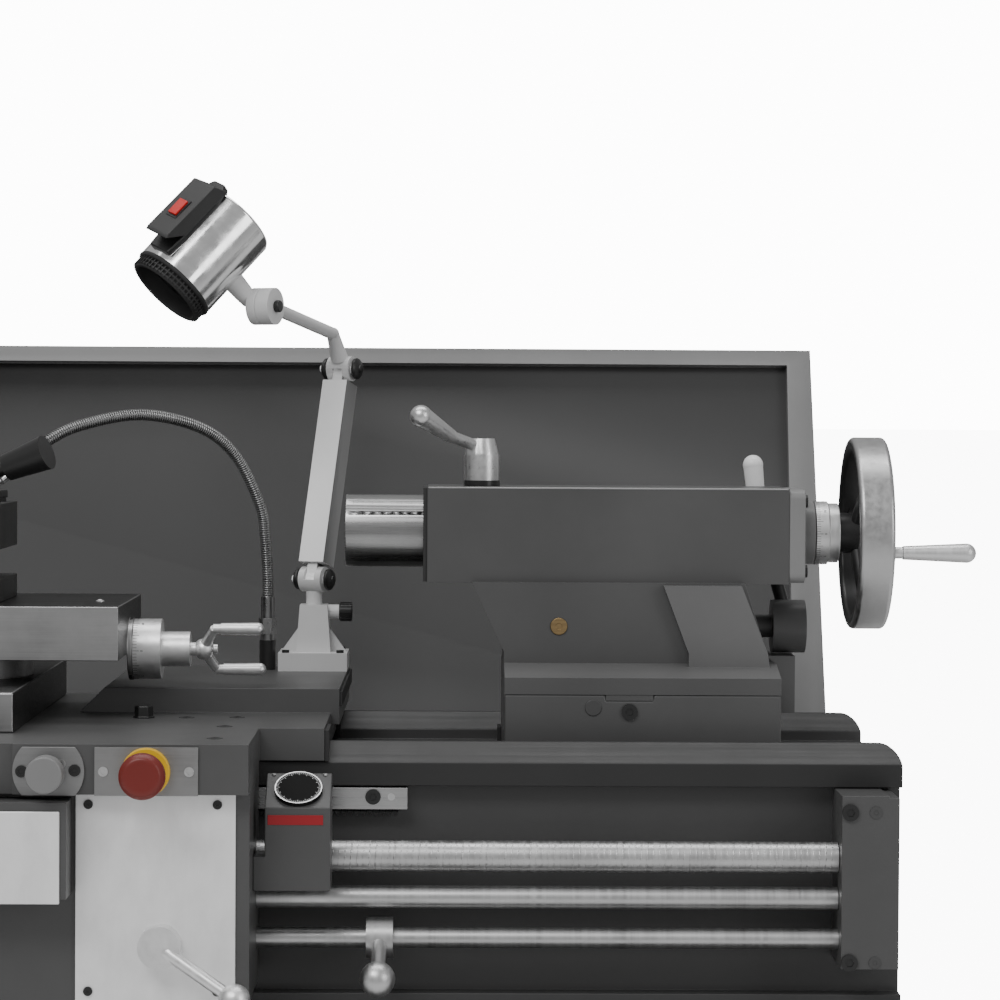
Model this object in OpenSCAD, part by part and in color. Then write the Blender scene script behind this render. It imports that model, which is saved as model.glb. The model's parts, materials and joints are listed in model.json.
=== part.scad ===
// Engine lathe: bed on two pedestals, geared headstock with three-jaw chuck, carriage with
// compound slide, work lamp and coolant line, and a set-over tailstock with a graduated quill.
// +X runs from headstock to tailstock, +Y away from the operator, +Z up.
// The origin is on the floor, in the middle of the four floor-bolt holes.
// Heights named *_z are measured from the spindle axis, and everything above the stand
// is drawn inside on_axis().

/* [Bed] */
// Length of the bed casting
bed_len = 2144; // [2100:4:2600]
// Height of the spindle axis above the tops of the V-ways
centre_h = 203; // [190:1:250]
// Distance from the centre line to the top of each V-way
way_y = 158; // [150:1:190]
// Height of the bed casting, foot to V-way
bed_h = 297; // [260:1:360]
// Thickness of the bed's side walls
bed_web = 30; // [20:1:40]

/* [Stand] */
// Height of the pedestals
ped_h = 600; // [480:5:720]
// Length of the headstock pedestal
ped_len = 520; // [400:5:620]
// Depth of the pedestals
ped_w = 440; // [400:5:540]
// Distance between the floor-bolt holes along the lathe
bolt_dx = 2060; // [2000:5:2100]
// Distance between the floor-bolt holes across the lathe
bolt_dy = 340; // [300:5:360]
// Radius of each floor-bolt hole
bolt_r = 9; // [6:0.5:12]
// Sheet thickness of the pedestals
ped_t = 6; // [4:1:8]
// Height of the chip tray's rim
tray_rim = 50; // [40:1:90]

/* [Headstock] */
// Length of the headstock casting
head_len = 530; // [480:5:600]
// Height of the headstock above the spindle axis
head_top = 175; // [165:1:220]
// Radius of the spindle at its bearings
spindle_r = 45; // [40:1:55]
// Radius of the hole through the spindle
spindle_bore_r = 26; // [20:1:30]
// Radius of the chuck
chuck_r = 125; // [100:1:150]
// Thickness of the chuck body
chuck_t = 100; // [80:1:120]

/* [Carriage] */
// Distance from the cross-slide's centre line to the tailstock end of the bed
cross_from_end = 968; // [940:1:1000]
// Height of the saddle's deck above the V-ways
deck_rise = 15; // [12:1:25]
// Height of the saddle's bridge above the deck
bridge_rise = 25; // [20:1:40]
// Radius of the apron handwheel
apron_wheel_r = 90; // [70:1:95]
// Radius of the lead screw
screw_r = 15; // [12:1:18]

/* [Compound] */
// Width of the cross-slide
cross_w = 200; // [170:1:215]
// Length of the top slide
top_len = 340; // [320:1:360]
// Depth of the top slide
top_w = 230; // [200:1:240]
// Height of the top slide
top_h = 54; // [48:1:60]
// Width of the square tool post
post_w = 130; // [100:1:140]

/* [Tailstock] */
// Length of the tailstock barrel box
tail_len = 371; // [350:1:390]
// Height of the tailstock barrel box
tail_h = 98; // [92:1:118]
// Width of the tailstock barrel box
tail_w = 120; // [110:1:144]
// Radius of the quill
quill_r = 37.5; // [32:0.5:40]
// How far the quill stands out of the barrel box
quill_out = 85; // [70:1:95]
// Radius of the tailstock handwheel
wheel_r = 100; // [80:1:120]
// Width of the handwheel's rim along the spindle axis
wheel_rim_w = 36; // [30:1:42]

/* [Lamp] */
// Height of the lamp's lower arm between its pivots
arm_rise = 235; // [200:1:280]
// How far the lamp's lower arm leans away from the operator
arm_lean = 68; // [50:1:75]
// Angle of the lamp's hinge pins from the lathe's length
lamp_yaw = 24; // [10:1:35]
// Radius of the lamp head
lamp_r = 47; // [40:0.5:55]
// Length of the lamp head's shell
lamp_len = 100; // [80:1:120]

/* [Coolant] */
// Radius of the flexible coolant hose
hose_r = 6.5; // [5:0.1:8]

/* [Guard] */
// Height of the splash guard's leaning panel
guard_h = 470; // [400:5:560]
// Lean of the splash guard
guard_lean = 14.3; // [8:0.1:18]

/* [Fits] */
// Radial clearance of a shaft that turns in its bore
run_fit = 0.05; // [0.02:0.01:0.1]
// Clearance of a slide on its way
slide_fit = 0.08; // [0.03:0.01:0.1]
// Gap between faces of different moving pieces
face_gap = 0.4; // [0.3:0.1:1]

/* [Hidden] */
$fn = 64;
over = 1;

// ---- where the main pieces stand
tray_t = 4;
foot_h = tray_rim - tray_t;
tray_z = ped_h + tray_t;
axis_z = tray_z + foot_h + bed_h + centre_h;
right_x = bed_len / 2;
left_x = -bed_len / 2;
way_z = -centre_h;
vee_flat = 3;
vee_drop = 18;
flat_z = way_z - 29;
rail_z = way_z - 42;
rail_y = way_y + 27;
web_y = way_y + 7;
slot_y = way_y - 78;
bed_z = way_z - bed_h;
head_x = left_x + head_len;
cross_x = right_x - cross_from_end;
deck_z = way_z + deck_rise;
bridge_z = deck_z + bridge_rise;

module on_axis() { translate([0, 0, axis_z]) children(); }

// A box given by its lowest and highest corners.
module block(lo, hi) { translate(lo) cube(hi - lo); }

// A bar along X from x0 to x1, on the line through y and z.
module bar_x(x0, x1, r, y = 0, z = 0) {
    translate([x0, y, z]) rotate([0, 90, 0]) cylinder(h = x1 - x0, r = r);
}

// A bar along Y from y0 to y1, on the line through x and z.
module bar_y(y0, y1, r, x = 0, z = 0) {
    translate([x, y1, z]) rotate([90, 0, 0]) cylinder(h = y1 - y0, r = r);
}

// An outline in Y and Z, pulled along X from x0 to x1.
module along_x(x0, x1) {
    translate([x0, 0, 0]) rotate([90, 0, 90]) linear_extrude(height = x1 - x0) children();
}

// An outline in X and Z, pulled along Y from y0 to y1.
module along_y(y0, y1) {
    translate([0, y1, 0]) rotate([90, 0, 0]) linear_extrude(height = y1 - y0) children();
}

// A round bar or cone from point p to point q.
module strut(p, q, r1, r2) {
    d = q - p;
    translate(p) rotate([0, acos(d.z / norm(d)), atan2(d.y, d.x)])
        cylinder(h = norm(d), r1 = r1, r2 = r2);
}

// Turns its children so that +Z points along d.
module aim(p, d) {
    translate(p) rotate([0, acos(d.z / norm(d)), atan2(d.y, d.x)]) children();
}

// A rectangle with round corners, from lo to hi.
module round_rect(lo, hi, r) {
    translate([lo.x + r, lo.y]) square([hi.x - lo.x - 2 * r, hi.y - lo.y]);
    translate([lo.x, lo.y + r]) square([hi.x - lo.x, hi.y - lo.y - 2 * r]);
    for (x = [lo.x + r, hi.x - r], y = [lo.y + r, hi.y - r]) translate([x, y]) circle(r = r);
}

// A turned grip along +Z: neck, taper, round end.
module grip(len, neck_r, end_r) {
    neck = 8;
    cylinder(h = neck, r = neck_r);
    translate([0, 0, neck]) cylinder(h = len - neck - end_r, r1 = neck_r + 1, r2 = end_r);
    translate([0, 0, len - end_r]) sphere(r = end_r);
}

// A spoked handwheel around +Z: dished hub, three spokes, round-edged rim.
module spoked_wheel(r, rim_w, hub_r, hub_lo, hub_hi, bore_r) {
    rim_t = 14;
    edge = 5;
    spoke_r = 8;
    spokes = 3;
    rotate_extrude() round_rect([r - rim_t, 0], [r, rim_w], edge);
    difference() {
        union() {
            translate([0, 0, hub_lo]) cylinder(h = hub_hi - hub_lo, r = hub_r);
            for (k = [0:spokes - 1])
                rotate([0, 0, 90 + k * 360 / spokes])
                    strut([hub_r - spoke_r, 0, (hub_lo + hub_hi) / 2],
                          [r - rim_t / 2, 0, rim_w / 2], spoke_r, spoke_r - 1);
        }
        translate([0, 0, hub_lo - over]) cylinder(h = hub_hi - hub_lo + 2 * over, r = bore_r);
    }
}

// ---- bed and stand
// One side of the bed: V-way, flat tailstock way, wall and foot flange.
module bed_side() {
    way_t = 30;
    flange_z = bed_z + 50;
    flange_in = way_y - 58;
    vee_in = way_y - vee_flat - vee_drop;
    polygon([
        [slot_y, flat_z], [vee_in, flat_z], [vee_in, way_z - vee_drop],
        [way_y - vee_flat, way_z], [way_y + vee_flat, way_z],
        [rail_y, way_z - vee_drop - 1], [rail_y, rail_z], [web_y, rail_z],
        [web_y, flange_z], [rail_y, flange_z], [rail_y, bed_z], [flange_in, bed_z],
        [flange_in, flange_z], [web_y - bed_web, flange_z],
        [web_y - bed_web, flat_z - way_t], [slot_y, flat_z - way_t],
    ]);
}

module bed_section() {
    bed_side();
    mirror([1, 0]) bed_side();
}

module bed() {
    corner_r = 22;
    rib_t = 25;
    rib_z = flat_z - 110;
    end_z = flat_z - 30;
    feet_in = 40;
    foot_len = 440;
    ribs = 6;
    pitch = (bed_len - rib_t) / (ribs + 1);
    color("dimgray") difference() {
        union() {
            on_axis() along_x(left_x, right_x) bed_section();
            on_axis() for (k = [1:ribs])
                block([left_x + k * pitch, bed_web - web_y, bed_z],
                      [left_x + k * pitch + rib_t, web_y - bed_web, rib_z]);
            on_axis() for (x = [left_x, right_x - rib_t])
                block([x, bed_web - web_y, bed_z], [x + rib_t, web_y - bed_web, end_z]);
            for (x = [left_x + feet_in, right_x - feet_in - foot_len])
                block([x, -rail_y, tray_z], [x + foot_len, rail_y, tray_z + foot_h]);
        }
        on_axis() along_y(-rail_y - over, rail_y + over) difference() {
            translate([right_x - corner_r, way_z - corner_r]) square(corner_r + over);
            translate([right_x - corner_r, way_z - corner_r]) circle(r = corner_r);
        }
    }
}

// A sheet cabinet that stands on a turned-in foot flange.
module pedestal(x0, x1, holes_x) {
    flange = 70;
    difference() {
        block([x0, -ped_w / 2, 0], [x1, ped_w / 2, ped_h]);
        block([x0 + ped_t, ped_t - ped_w / 2, 2 * ped_t], [x1 - ped_t, ped_w / 2 - ped_t, ped_h - ped_t]);
        block([x0 + flange, flange - ped_w / 2, -over], [x1 - flange, ped_w / 2 - flange, 3 * ped_t]);
        for (y = [-bolt_dy / 2, bolt_dy / 2])
            translate([holes_x, y, -over]) cylinder(h = 3 * ped_t, r = bolt_r);
    }
}

motor_z = 330;
motor_y = 90;
shaft_hole_r = 22;
module headstock_pedestal() {
    color("silver") difference() {
        pedestal(left_x, left_x + ped_len, -bolt_dx / 2);
        bar_x(left_x - over, left_x + ped_t + over, shaft_hole_r, motor_y, motor_z);
    }
}

tail_ped_len = 380;
module tailstock_pedestal() {
    color("silver") pedestal(right_x - tail_ped_len, right_x, bolt_dx / 2);
}

tray_out = 30;
tray_front = way_y + 172;
guard_y = way_y + 142;
guard_t = 3;
module chip_tray() {
    color("dimgray") difference() {
        block([left_x, -tray_front, ped_h], [right_x + tray_out, guard_y - guard_t, ped_h + tray_rim]);
        block([left_x + tray_t, tray_t - tray_front, tray_z],
              [right_x + tray_out - tray_t, guard_y - guard_t - tray_t, ped_h + tray_rim + over]);
    }
}

// A bent sheet: a straight foot on the tray's rear rim and a leaning panel with folded lips.
guard_x0 = head_x + 2;
guard_x1 = right_x - 20;
guard_taper = 10;
guard_bend_z = way_z - 57;
lip_side = 27;
lip_top = 18;
lip_t = 14;

// The leaning panel's own frame: +Y up the slope, +Z towards the operator.
module guard_leaf() { translate([0, guard_y, guard_bend_z]) rotate([90 - guard_lean, 0, 0]) children(); }

module splash_guard() {
    foot_z = ped_h + tray_rim / 3 - axis_z;
    up = guard_h * [sin(guard_lean), cos(guard_lean)];
    inward = guard_t * [-cos(guard_lean), sin(guard_lean)];
    bend_in = guard_t * tan(guard_lean / 2);
    color("gray") on_axis() difference() {
        union() {
            along_x(guard_x0, guard_x1) polygon([
                [guard_y - guard_t, foot_z], [guard_y, foot_z], [guard_y, guard_bend_z],
                [guard_y, guard_bend_z] + up, [guard_y, guard_bend_z] + up + inward,
                [guard_y - guard_t, guard_bend_z + bend_in],
            ]);
            guard_leaf() translate([0, 0, guard_t / 2]) {
                translate([guard_x0, guard_h - lip_top - over, 0])
                    cube([guard_x1 - guard_x0, lip_top, lip_t]);
                translate([guard_x1 - lip_side - guard_taper, lip_top, 0])
                    cube([lip_side + guard_taper, guard_h - 2 * lip_top, lip_t]);
            }
        }
        guard_leaf() translate([0, 0, -lip_t]) linear_extrude(height = 3 * lip_t)
            polygon([[guard_x1 + over, 0], [guard_x1 + lip_side, 0],
                     [guard_x1 + lip_side, guard_h + lip_t], [guard_x1 - guard_taper, guard_h + lip_t]]);
    }
}

// ---- drive rods along the front of the bed
rod_y = -(way_y + 57);
screw_z = way_z - 107;
feed_z = way_z - 147;
control_z = way_z - 187;
feed_r = 11;
control_r = 10;
journal_r = 10;
box_x1 = head_x - 5;
bracket_x0 = right_x - 67;
bracket_x1 = right_x - 21;
bracket_end = 10;
rod_lines = [[screw_z, screw_r], [feed_z, feed_r], [control_z, control_r]];

// A drive rod with a journal at each end.
module drive_rod(z, r) {
    reach = 30;
    on_axis() {
        bar_x(box_x1 + face_gap, bracket_x0 - face_gap, r, rod_y, z);
        bar_x(box_x1 - reach, bracket_x0 + reach, journal_r - run_fit, rod_y, z);
    }
}

module rack() {
    rack_x1 = right_x - 489;
    rack_h = 26;
    rack_t = 18;
    color("silver") on_axis()
        block([head_x + 2, -web_y - rack_t, rail_z - 2 - rack_h], [rack_x1, -web_y, rail_z - 2]);
}

module leadscrew_bracket() {
    low = control_z - 25;
    front = rod_y - 30;
    color("dimgray") on_axis() difference() {
        union() {
            block([bracket_x0, front, low], [bracket_x1, -web_y, rail_z - 1]);
            block([bracket_x1, front, low], [bracket_x1 + bracket_end, -web_y, rail_z - 3]);
        }
        for (rod = rod_lines)
            bar_x(bracket_x0 - over, bracket_x1 - face_gap, journal_r, rod_y, rod[0]);
    }
}

module feed_gearbox() {
    wall = 12;
    depth = 120;
    front = -web_y - depth;
    top = rail_z;
    low = control_z - 40;
    color("dimgray") on_axis() difference() {
        block([left_x + 20, front, low], [box_x1, -web_y, top]);
        block([left_x + 20 + wall, front + wall, low + wall], [box_x1 - 35, over - web_y, top - wall]);
        for (rod = rod_lines)
            bar_x(box_x1 - 40, box_x1 + over, journal_r, rod_y, rod[0]);
    }
}

module leadscrew() { color("silver") drive_rod(screw_z, screw_r); }
module feed_rod() { color("silver") drive_rod(feed_z, feed_r); }

// The start-stop rod carries its lever on the tailstock side of the apron.
module control_rod() {
    hub_x = cross_x + 440;
    hub_w = 26;
    hub_r = 20;
    arm = 95;
    color("silver") {
        drive_rod(control_z, control_r);
        on_axis() {
            bar_x(hub_x, hub_x + hub_w, hub_r, rod_y, control_z);
            translate([hub_x + hub_w / 2, rod_y, control_z]) rotate([105, 0, 0]) {
                cylinder(h = arm, r = 7);
                translate([0, 0, arm]) sphere(r = 17);
            }
        }
    }
}

// ---- headstock
head_y0 = -(way_y + 47);
head_y1 = way_y + 57;
head_wall = 40;
bearing_r = 75;
input_y = 110;
input_z = -60;
input_r = 18;
lever_x = head_x - 130;
lever_z = 70;
lever_r = 10;
module headstock_casing() {
    floor_z = -140;
    color("silver") on_axis() difference() {
        along_x(left_x, head_x) difference() {
            translate([head_y0, flat_z]) square([head_y1 - head_y0, head_top - flat_z]);
            bed_section();
        }
        block([left_x + head_wall, head_y0 + head_wall, floor_z],
              [head_x - head_wall, head_y1 - head_wall, head_top + over]);
        bar_x(left_x - over, head_x + over, bearing_r);
        bar_x(left_x - over, left_x + head_wall + over, input_r, input_y, input_z);
        bar_y(head_y0 - over, head_y0 + head_wall + over, lever_r, lever_x, lever_z);
    }
}

module headstock_cover() {
    cover_t = 15;
    edge = 12;
    color("silver") on_axis() translate([0, 0, head_top]) linear_extrude(height = cover_t)
        round_rect([left_x, head_y0], [head_x, head_y1], edge);
}

module spindle_bearings() {
    color("silver") on_axis() for (x = [left_x, head_x - head_wall]) difference() {
        bar_x(x, x + head_wall, bearing_r);
        bar_x(x - over, x + head_wall + over, spindle_r + run_fit);
    }
}

nose_gap = 3;
nose_t = 17;
nose_r = 82;
chuck_x = head_x + nose_gap + nose_t;
spindle_tail = 15;
module spindle() {
    color("silver") on_axis() difference() {
        union() {
            bar_x(left_x - spindle_tail, head_x + nose_gap + over, spindle_r);
            bar_x(head_x + nose_gap, chuck_x, nose_r);
            bar_x(left_x + 210, left_x + 260, 95);
        }
        bar_x(left_x - spindle_tail - over, chuck_x + over, spindle_bore_r);
    }
}

jaw_w = 30;
jaw_t = 22;
jaw_in = 30;
jaw_angles = [90, 210, 330];
chuck_bore_r = 38;
module chuck_body() {
    ring = 18;
    color("gray") on_axis() difference() {
        bar_x(chuck_x, chuck_x + chuck_t, chuck_r);
        bar_x(chuck_x - over, chuck_x + chuck_t + over, chuck_bore_r);
        for (a = jaw_angles) rotate([a, 0, 0])
            block([chuck_x + chuck_t - jaw_t, jaw_in - over, -jaw_w / 2],
                  [chuck_x + chuck_t + over, chuck_r + over, jaw_w / 2]);
        for (a = jaw_angles) rotate([a + 60, 0, 0])
            translate([chuck_x + chuck_t / 2, chuck_r - ring, 0]) rotate([-90, 0, 0])
                cylinder(h = ring + over, r = 8);
    }
}

// Three stepped jaws, seated in the chuck's slots.
module chuck_jaws() {
    steps = 3;
    rise = 18;
    face = chuck_x + chuck_t;
    color("silver") on_axis() for (a = jaw_angles) rotate([a, 0, 0]) {
        block([face - jaw_t, chuck_bore_r + 4, -jaw_w / 2], [face, chuck_r - 4, jaw_w / 2]);
        for (k = [0:steps - 1])
            block([face - over, jaw_in + k * rise, -jaw_w / 2],
                  [face + (k + 1) * rise, jaw_in + (k + 1) * rise + over, jaw_w / 2]);
    }
}

// The gear lever on the front of the headstock: a hub, an arm and a ball.
module speed_lever() {
    color("black") on_axis() {
        hub_y = head_y0 - face_gap;
        bar_y(hub_y - 22, hub_y, 26, lever_x, lever_z);
        bar_y(hub_y - over, head_y0 + head_wall, lever_r - run_fit, lever_x, lever_z);
        strut([lever_x, hub_y - 14, lever_z], [lever_x, hub_y - 40, lever_z - 90], 7, 6);
        translate([lever_x, hub_y - 40, lever_z - 90]) sphere(r = 15);
    }
}

// ---- motor, pulleys and belt, behind the end cover
pulley_x0 = left_x - 52;
pulley_w = 34;
motor_pulley_r = 60;
input_pulley_r = 80;
motor_shaft_r = 16;
motor_x0 = left_x + 12;
motor_len = 300;
motor_r = 95;
module motor() {
    foot_w = 200;
    foot_t = 12;
    color("dimgray") difference() {
        union() {
            bar_x(motor_x0, motor_x0 + motor_len, motor_r, motor_y, motor_z);
            block([motor_x0 + 30, motor_y - foot_w / 2, 2 * ped_t],
                  [motor_x0 + motor_len - 30, motor_y + foot_w / 2, 2 * ped_t + foot_t]);
            for (x = [motor_x0 + 50, motor_x0 + motor_len - 80])
                block([x, motor_y - foot_w / 3, 2 * ped_t],
                      [x + 30, motor_y + foot_w / 3, motor_z - motor_r / 2]);
        }
        bar_x(motor_x0 - over, motor_x0 + 60, motor_shaft_r, motor_y, motor_z);
    }
}

// A grooved belt pulley on its shaft.
module belt_pulley(r, shaft_r, shaft_end, y, z) {
    bar_x(pulley_x0, pulley_x0 + pulley_w, r, y, z);
    bar_x(pulley_x0 + pulley_w - over, shaft_end, shaft_r - run_fit, y, z);
}

module motor_pulley() {
    color("gray") belt_pulley(motor_pulley_r, motor_shaft_r, motor_x0 + 50, motor_y, motor_z);
}

module input_pulley() {
    color("gray") belt_pulley(input_pulley_r, input_r, left_x + head_wall,
                              input_y, axis_z + input_z);
}

// The belt runs round both pulleys with a hair of clearance, as an open loop.
module drive_belt() {
    belt_t = 9;
    inset = 5;
    module loop(grow) {
        hull() {
            translate([motor_y, motor_z]) circle(r = motor_pulley_r + grow);
            translate([input_y, axis_z + input_z]) circle(r = input_pulley_r + grow);
        }
    }
    color("black") along_x(pulley_x0 + inset, pulley_x0 + pulley_w - inset) difference() {
        loop(belt_t + face_gap);
        loop(face_gap);
    }
}

// A hinged sheet cover over the pulleys at the headstock end.
cover_depth = 90;
cover_y1 = 205;
cover_low = 180;
module end_cover() {
    wall = 3;
    stock_gap = 7;
    x1 = left_x - face_gap;
    x0 = x1 - cover_depth;
    hinge_r = 7;
    color("silver") difference() {
        union() {
            block([x0, -cover_y1 + 10, cover_low], [x1, cover_y1, axis_z + head_top]);
            for (z = [cover_low + 150, axis_z + head_top - 150])
                translate([x1 - hinge_r, cover_y1 + hinge_r - over, z]) cylinder(h = 60, r = hinge_r);
        }
        block([x0 + wall, wall - cover_y1 + 10, cover_low + wall],
              [x1 + over, cover_y1 - wall, axis_z + head_top - wall]);
        bar_x(x0 - over, x0 + wall + over, spindle_bore_r + stock_gap, 0, axis_z);
    }
}

// ---- carriage
saddle_x0 = cross_x - 176;
saddle_x1 = cross_x + 397;
bridge_x0 = cross_x + 138;
bridge_x1 = cross_x + 406;
bridge_y0 = -30;
bridge_y1 = way_y + 112;
box_x0 = cross_x + 113;
box_end = cross_x + 333;
box_y0 = -(way_y + 192);
box_z = deck_z - 47;
saddle_under = way_z - 17;
dove_r0 = 60;
dove_r1 = 72;
dove_h = 20;
apron_x0 = cross_x - 116;
apron_y0 = -(way_y + 172);
cross_screw_z = deck_z - 32;
cross_shaft_r = 9;
wing_y = -(way_y + 32);

// A dovetail's outline, wider at the top by its flanks.
module dovetail(half0, half1, h, fit) {
    polygon([[-half0 - fit, 0], [half0 + fit, 0], [half1 + fit, h + fit], [-half1 - fit, h + fit]]);
}

module saddle() {
    ramp = bridge_rise;
    left_y0 = box_y0 + 5;
    dove_y1 = way_y + 32;
    color("dimgray") on_axis() difference() {
        union() {
            block([saddle_x0, wing_y, saddle_under], [saddle_x1, -wing_y, deck_z]);
            block([box_x0, box_y0, box_z], [box_end, wing_y + over, deck_z]);
            block([apron_x0, left_y0, box_z], [box_x0 + over, wing_y + over, deck_z]);
            along_y(bridge_y0, bridge_y1) polygon([
                [bridge_x0, saddle_under + 20], [bridge_x1, saddle_under + 20], [bridge_x1, bridge_z],
                [bridge_x0 + ramp, bridge_z], [bridge_x0, deck_z],
            ]);
            along_y(left_y0 + 20, dove_y1) translate([cross_x, deck_z])
                dovetail(dove_r0, dove_r1, dove_h, 0);
        }
        along_x(saddle_x0 - over, bridge_x1 + over) translate([0, slide_fit]) bed_section();
        bar_y(left_y0 - over, left_y0 + 60, cross_shaft_r, cross_x, cross_screw_z);
        bar_y(box_y0 - over, box_y0 + stem_hole, pump_stem_r + over, pump_x, control_mid_z);
        bar_y(box_y0 - over, box_y0 + stem_hole, estop_stem_r + over, estop_x, control_mid_z);
    }
}

apron_low = control_z - 45;
module apron() {
    wall = 12;
    back = rod_y + 22;
    housing_x0 = cross_x + 36;
    housing_x1 = cross_x + 166;
    housing_y0 = apron_y0 - 42;
    color("lightgray") on_axis() difference() {
        union() {
            block([apron_x0, apron_y0, apron_low], [box_end, back, box_z]);
            block([housing_x0, housing_y0, box_z - 95], [housing_x1, apron_y0 + over, box_z - 5]);
        }
        block([apron_x0 + wall, apron_y0 + wall, apron_low + wall],
              [box_end - wall, back + over, box_z - wall]);
        for (rod = rod_lines)
            bar_x(apron_x0 - over, box_end + over, rod[1] + 1, rod_y, rod[0]);
        bar_y(apron_y0 - over, apron_y0 + wall + over, apron_shaft_r, apron_wheel_x, apron_wheel_z);
        bar_y(apron_y0 - over, apron_y0 + wall + over, apron_shaft_r, half_nut_x, half_nut_z);
    }
}

apron_shaft_r = 11;
apron_wheel_x = cross_x - 60;
apron_wheel_z = deck_z - 190;
half_nut_x = cross_x + 250;
half_nut_z = deck_z - 190;

module turn_handle(x, y, z, len) {
    translate([x, y, z]) rotate([90, 0, 0]) grip(len, 6, 10);
}

module apron_handwheel() {
    rim_w = 22;
    y1 = apron_y0 - 38;
    color("silver") on_axis() {
        translate([apron_wheel_x, y1, apron_wheel_z]) rotate([90, 0, 0])
            spoked_wheel(apron_wheel_r, rim_w, 22, -37, 14, apron_shaft_r - over);
        bar_y(y1 - 14, apron_y0 + 12, apron_shaft_r - run_fit, apron_wheel_x, apron_wheel_z);
        turn_handle(apron_wheel_x - apron_wheel_r + 9, y1 - rim_w + over, apron_wheel_z, 70);
    }
}

module half_nut_lever() {
    arm = 90;
    y1 = apron_y0 - face_gap;
    color("black") on_axis() {
        bar_y(y1 - 24, y1, 20, half_nut_x, half_nut_z);
        bar_y(y1 - over, apron_y0 + 12, apron_shaft_r - run_fit, half_nut_x, half_nut_z);
        strut([half_nut_x, y1 - 16, half_nut_z], [half_nut_x + arm * 0.8, y1 - 40, half_nut_z - arm / 2], 7, 6);
        translate([half_nut_x + arm * 0.8, y1 - 40, half_nut_z - arm / 2]) sphere(r = 15);
    }
}

// ---- controls on the saddle's front box
control_mid_z = deck_z - 25;
plate_t = 3;
estop_x = cross_x + 238;
estop_r = 21.5;
estop_out = 52;
estop_stem_r = 8;
pump_x = cross_x + 147;
pump_r = 33.5;
pump_half = 22.7;
pump_stem_r = 6;
stem_hole = 15;
module oil_pump_plate() {
    color("silver") on_axis() difference() {
        intersection() {
            bar_y(box_y0 - plate_t, box_y0, pump_r, pump_x, control_mid_z);
            block([pump_x - pump_r, box_y0 - plate_t - over, control_mid_z - pump_half],
                  [pump_x + pump_r, box_y0 + over, control_mid_z + pump_half]);
        }
        bar_y(box_y0 - plate_t - over, box_y0 + over, pump_stem_r + run_fit, pump_x, control_mid_z);
    }
}

module oil_pump_knob() {
    y1 = box_y0 - plate_t - 14;
    color("lightgray") on_axis() {
        bar_y(y1 - 22, y1, 17.2, pump_x, control_mid_z);
        bar_y(y1 - over, box_y0 - 0.2, pump_stem_r, pump_x, control_mid_z);
    }
}

module estop_plate() {
    half_l = 48.3;
    collar_t = 6;
    color("silver") on_axis() difference() {
        union() {
            block([estop_x - half_l, box_y0 - plate_t, control_mid_z - pump_half],
                  [estop_x + half_l, box_y0, control_mid_z + pump_half]);
            bar_y(box_y0 - plate_t - collar_t, box_y0, 22, estop_x, control_mid_z);
        }
        bar_y(box_y0 - plate_t - collar_t - over, box_y0 + over,
              estop_stem_r + run_fit, estop_x, control_mid_z);
    }
}

module estop_button() {
    cap_t = 20;
    color("red") on_axis() {
        translate([estop_x, box_y0 - estop_out + cap_t, control_mid_z]) rotate([90, 0, 0])
            rotate_extrude() polygon([
                [0, 0], [estop_r - 5, 0], [estop_r, 5], [estop_r, cap_t - 6],
                [estop_r - 4, cap_t - 1], [estop_r - 9, cap_t], [0, cap_t],
            ]);
        bar_y(box_y0 - estop_out + cap_t - over, box_y0 - 0.2, estop_stem_r, estop_x, control_mid_z);
    }
}

// ---- thread dial on the apron's right side
dial_house_x0 = cross_x + 344;
dial_house_x1 = cross_x + 407;
dial_house_z = way_z - 24;
dial_tilt = 35;
dial_face_y = rod_y - 47;
dial_face_z = dial_house_z - 14;
dial_stem_r = 5;
module thread_dial_housing() {
    front = rod_y - 67;
    back = rod_y - 21;
    slope = 40;
    low = screw_z - 25;
    neck_z = screw_z + 8;
    color("dimgray") on_axis() difference() {
        union() {
            along_x(dial_house_x0, dial_house_x1) polygon([
                [front, low], [back, low], [back, dial_house_z], [front + slope, dial_house_z],
                [front, dial_house_z - slope * tan(dial_tilt)],
            ]);
            block([box_end, front, low], [dial_house_x0 + over, back, neck_z]);
        }
        thread_dial_axis() translate([0, 0, -30]) cylinder(h = 40, r = dial_stem_r + run_fit);
    }
}

// The dial's own frame: +Z out of the sloping face, at the middle of that face.
module thread_dial_axis() {
    translate([(dial_house_x0 + dial_house_x1) / 2, dial_face_y, dial_face_z])
        rotate([dial_tilt, 0, 0]) children();
}

module thread_dial() {
    color("black") on_axis() thread_dial_axis() {
        translate([0, 0, face_gap]) cylinder(h = 4, r = 23);
        translate([0, 0, -28]) cylinder(h = 29, r = dial_stem_r);
    }
}

// ---- coolant line: valve stub on the bridge, flexible hose, plain nozzle
hose_x = cross_x + 317;
hose_y = way_y + 57;
valve_h = 81;
hose_gap = 0.3;
module coolant_valve() {
    color("silver") on_axis() translate([hose_x, hose_y, bridge_z]) difference() {
        union() {
            cylinder(h = 33, r = 8.9);
            translate([0, 0, 33]) cylinder(h = 6.5, r = 8);
            translate([0, 0, 39.5]) cylinder(h = 17.5, r = 10, $fn = 6);
            translate([0, 0, 57]) cylinder(h = valve_h - 57, r = 7.5);
        }
        translate([0, 0, 10]) cylinder(h = valve_h, r = 4);
    }
}

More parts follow.
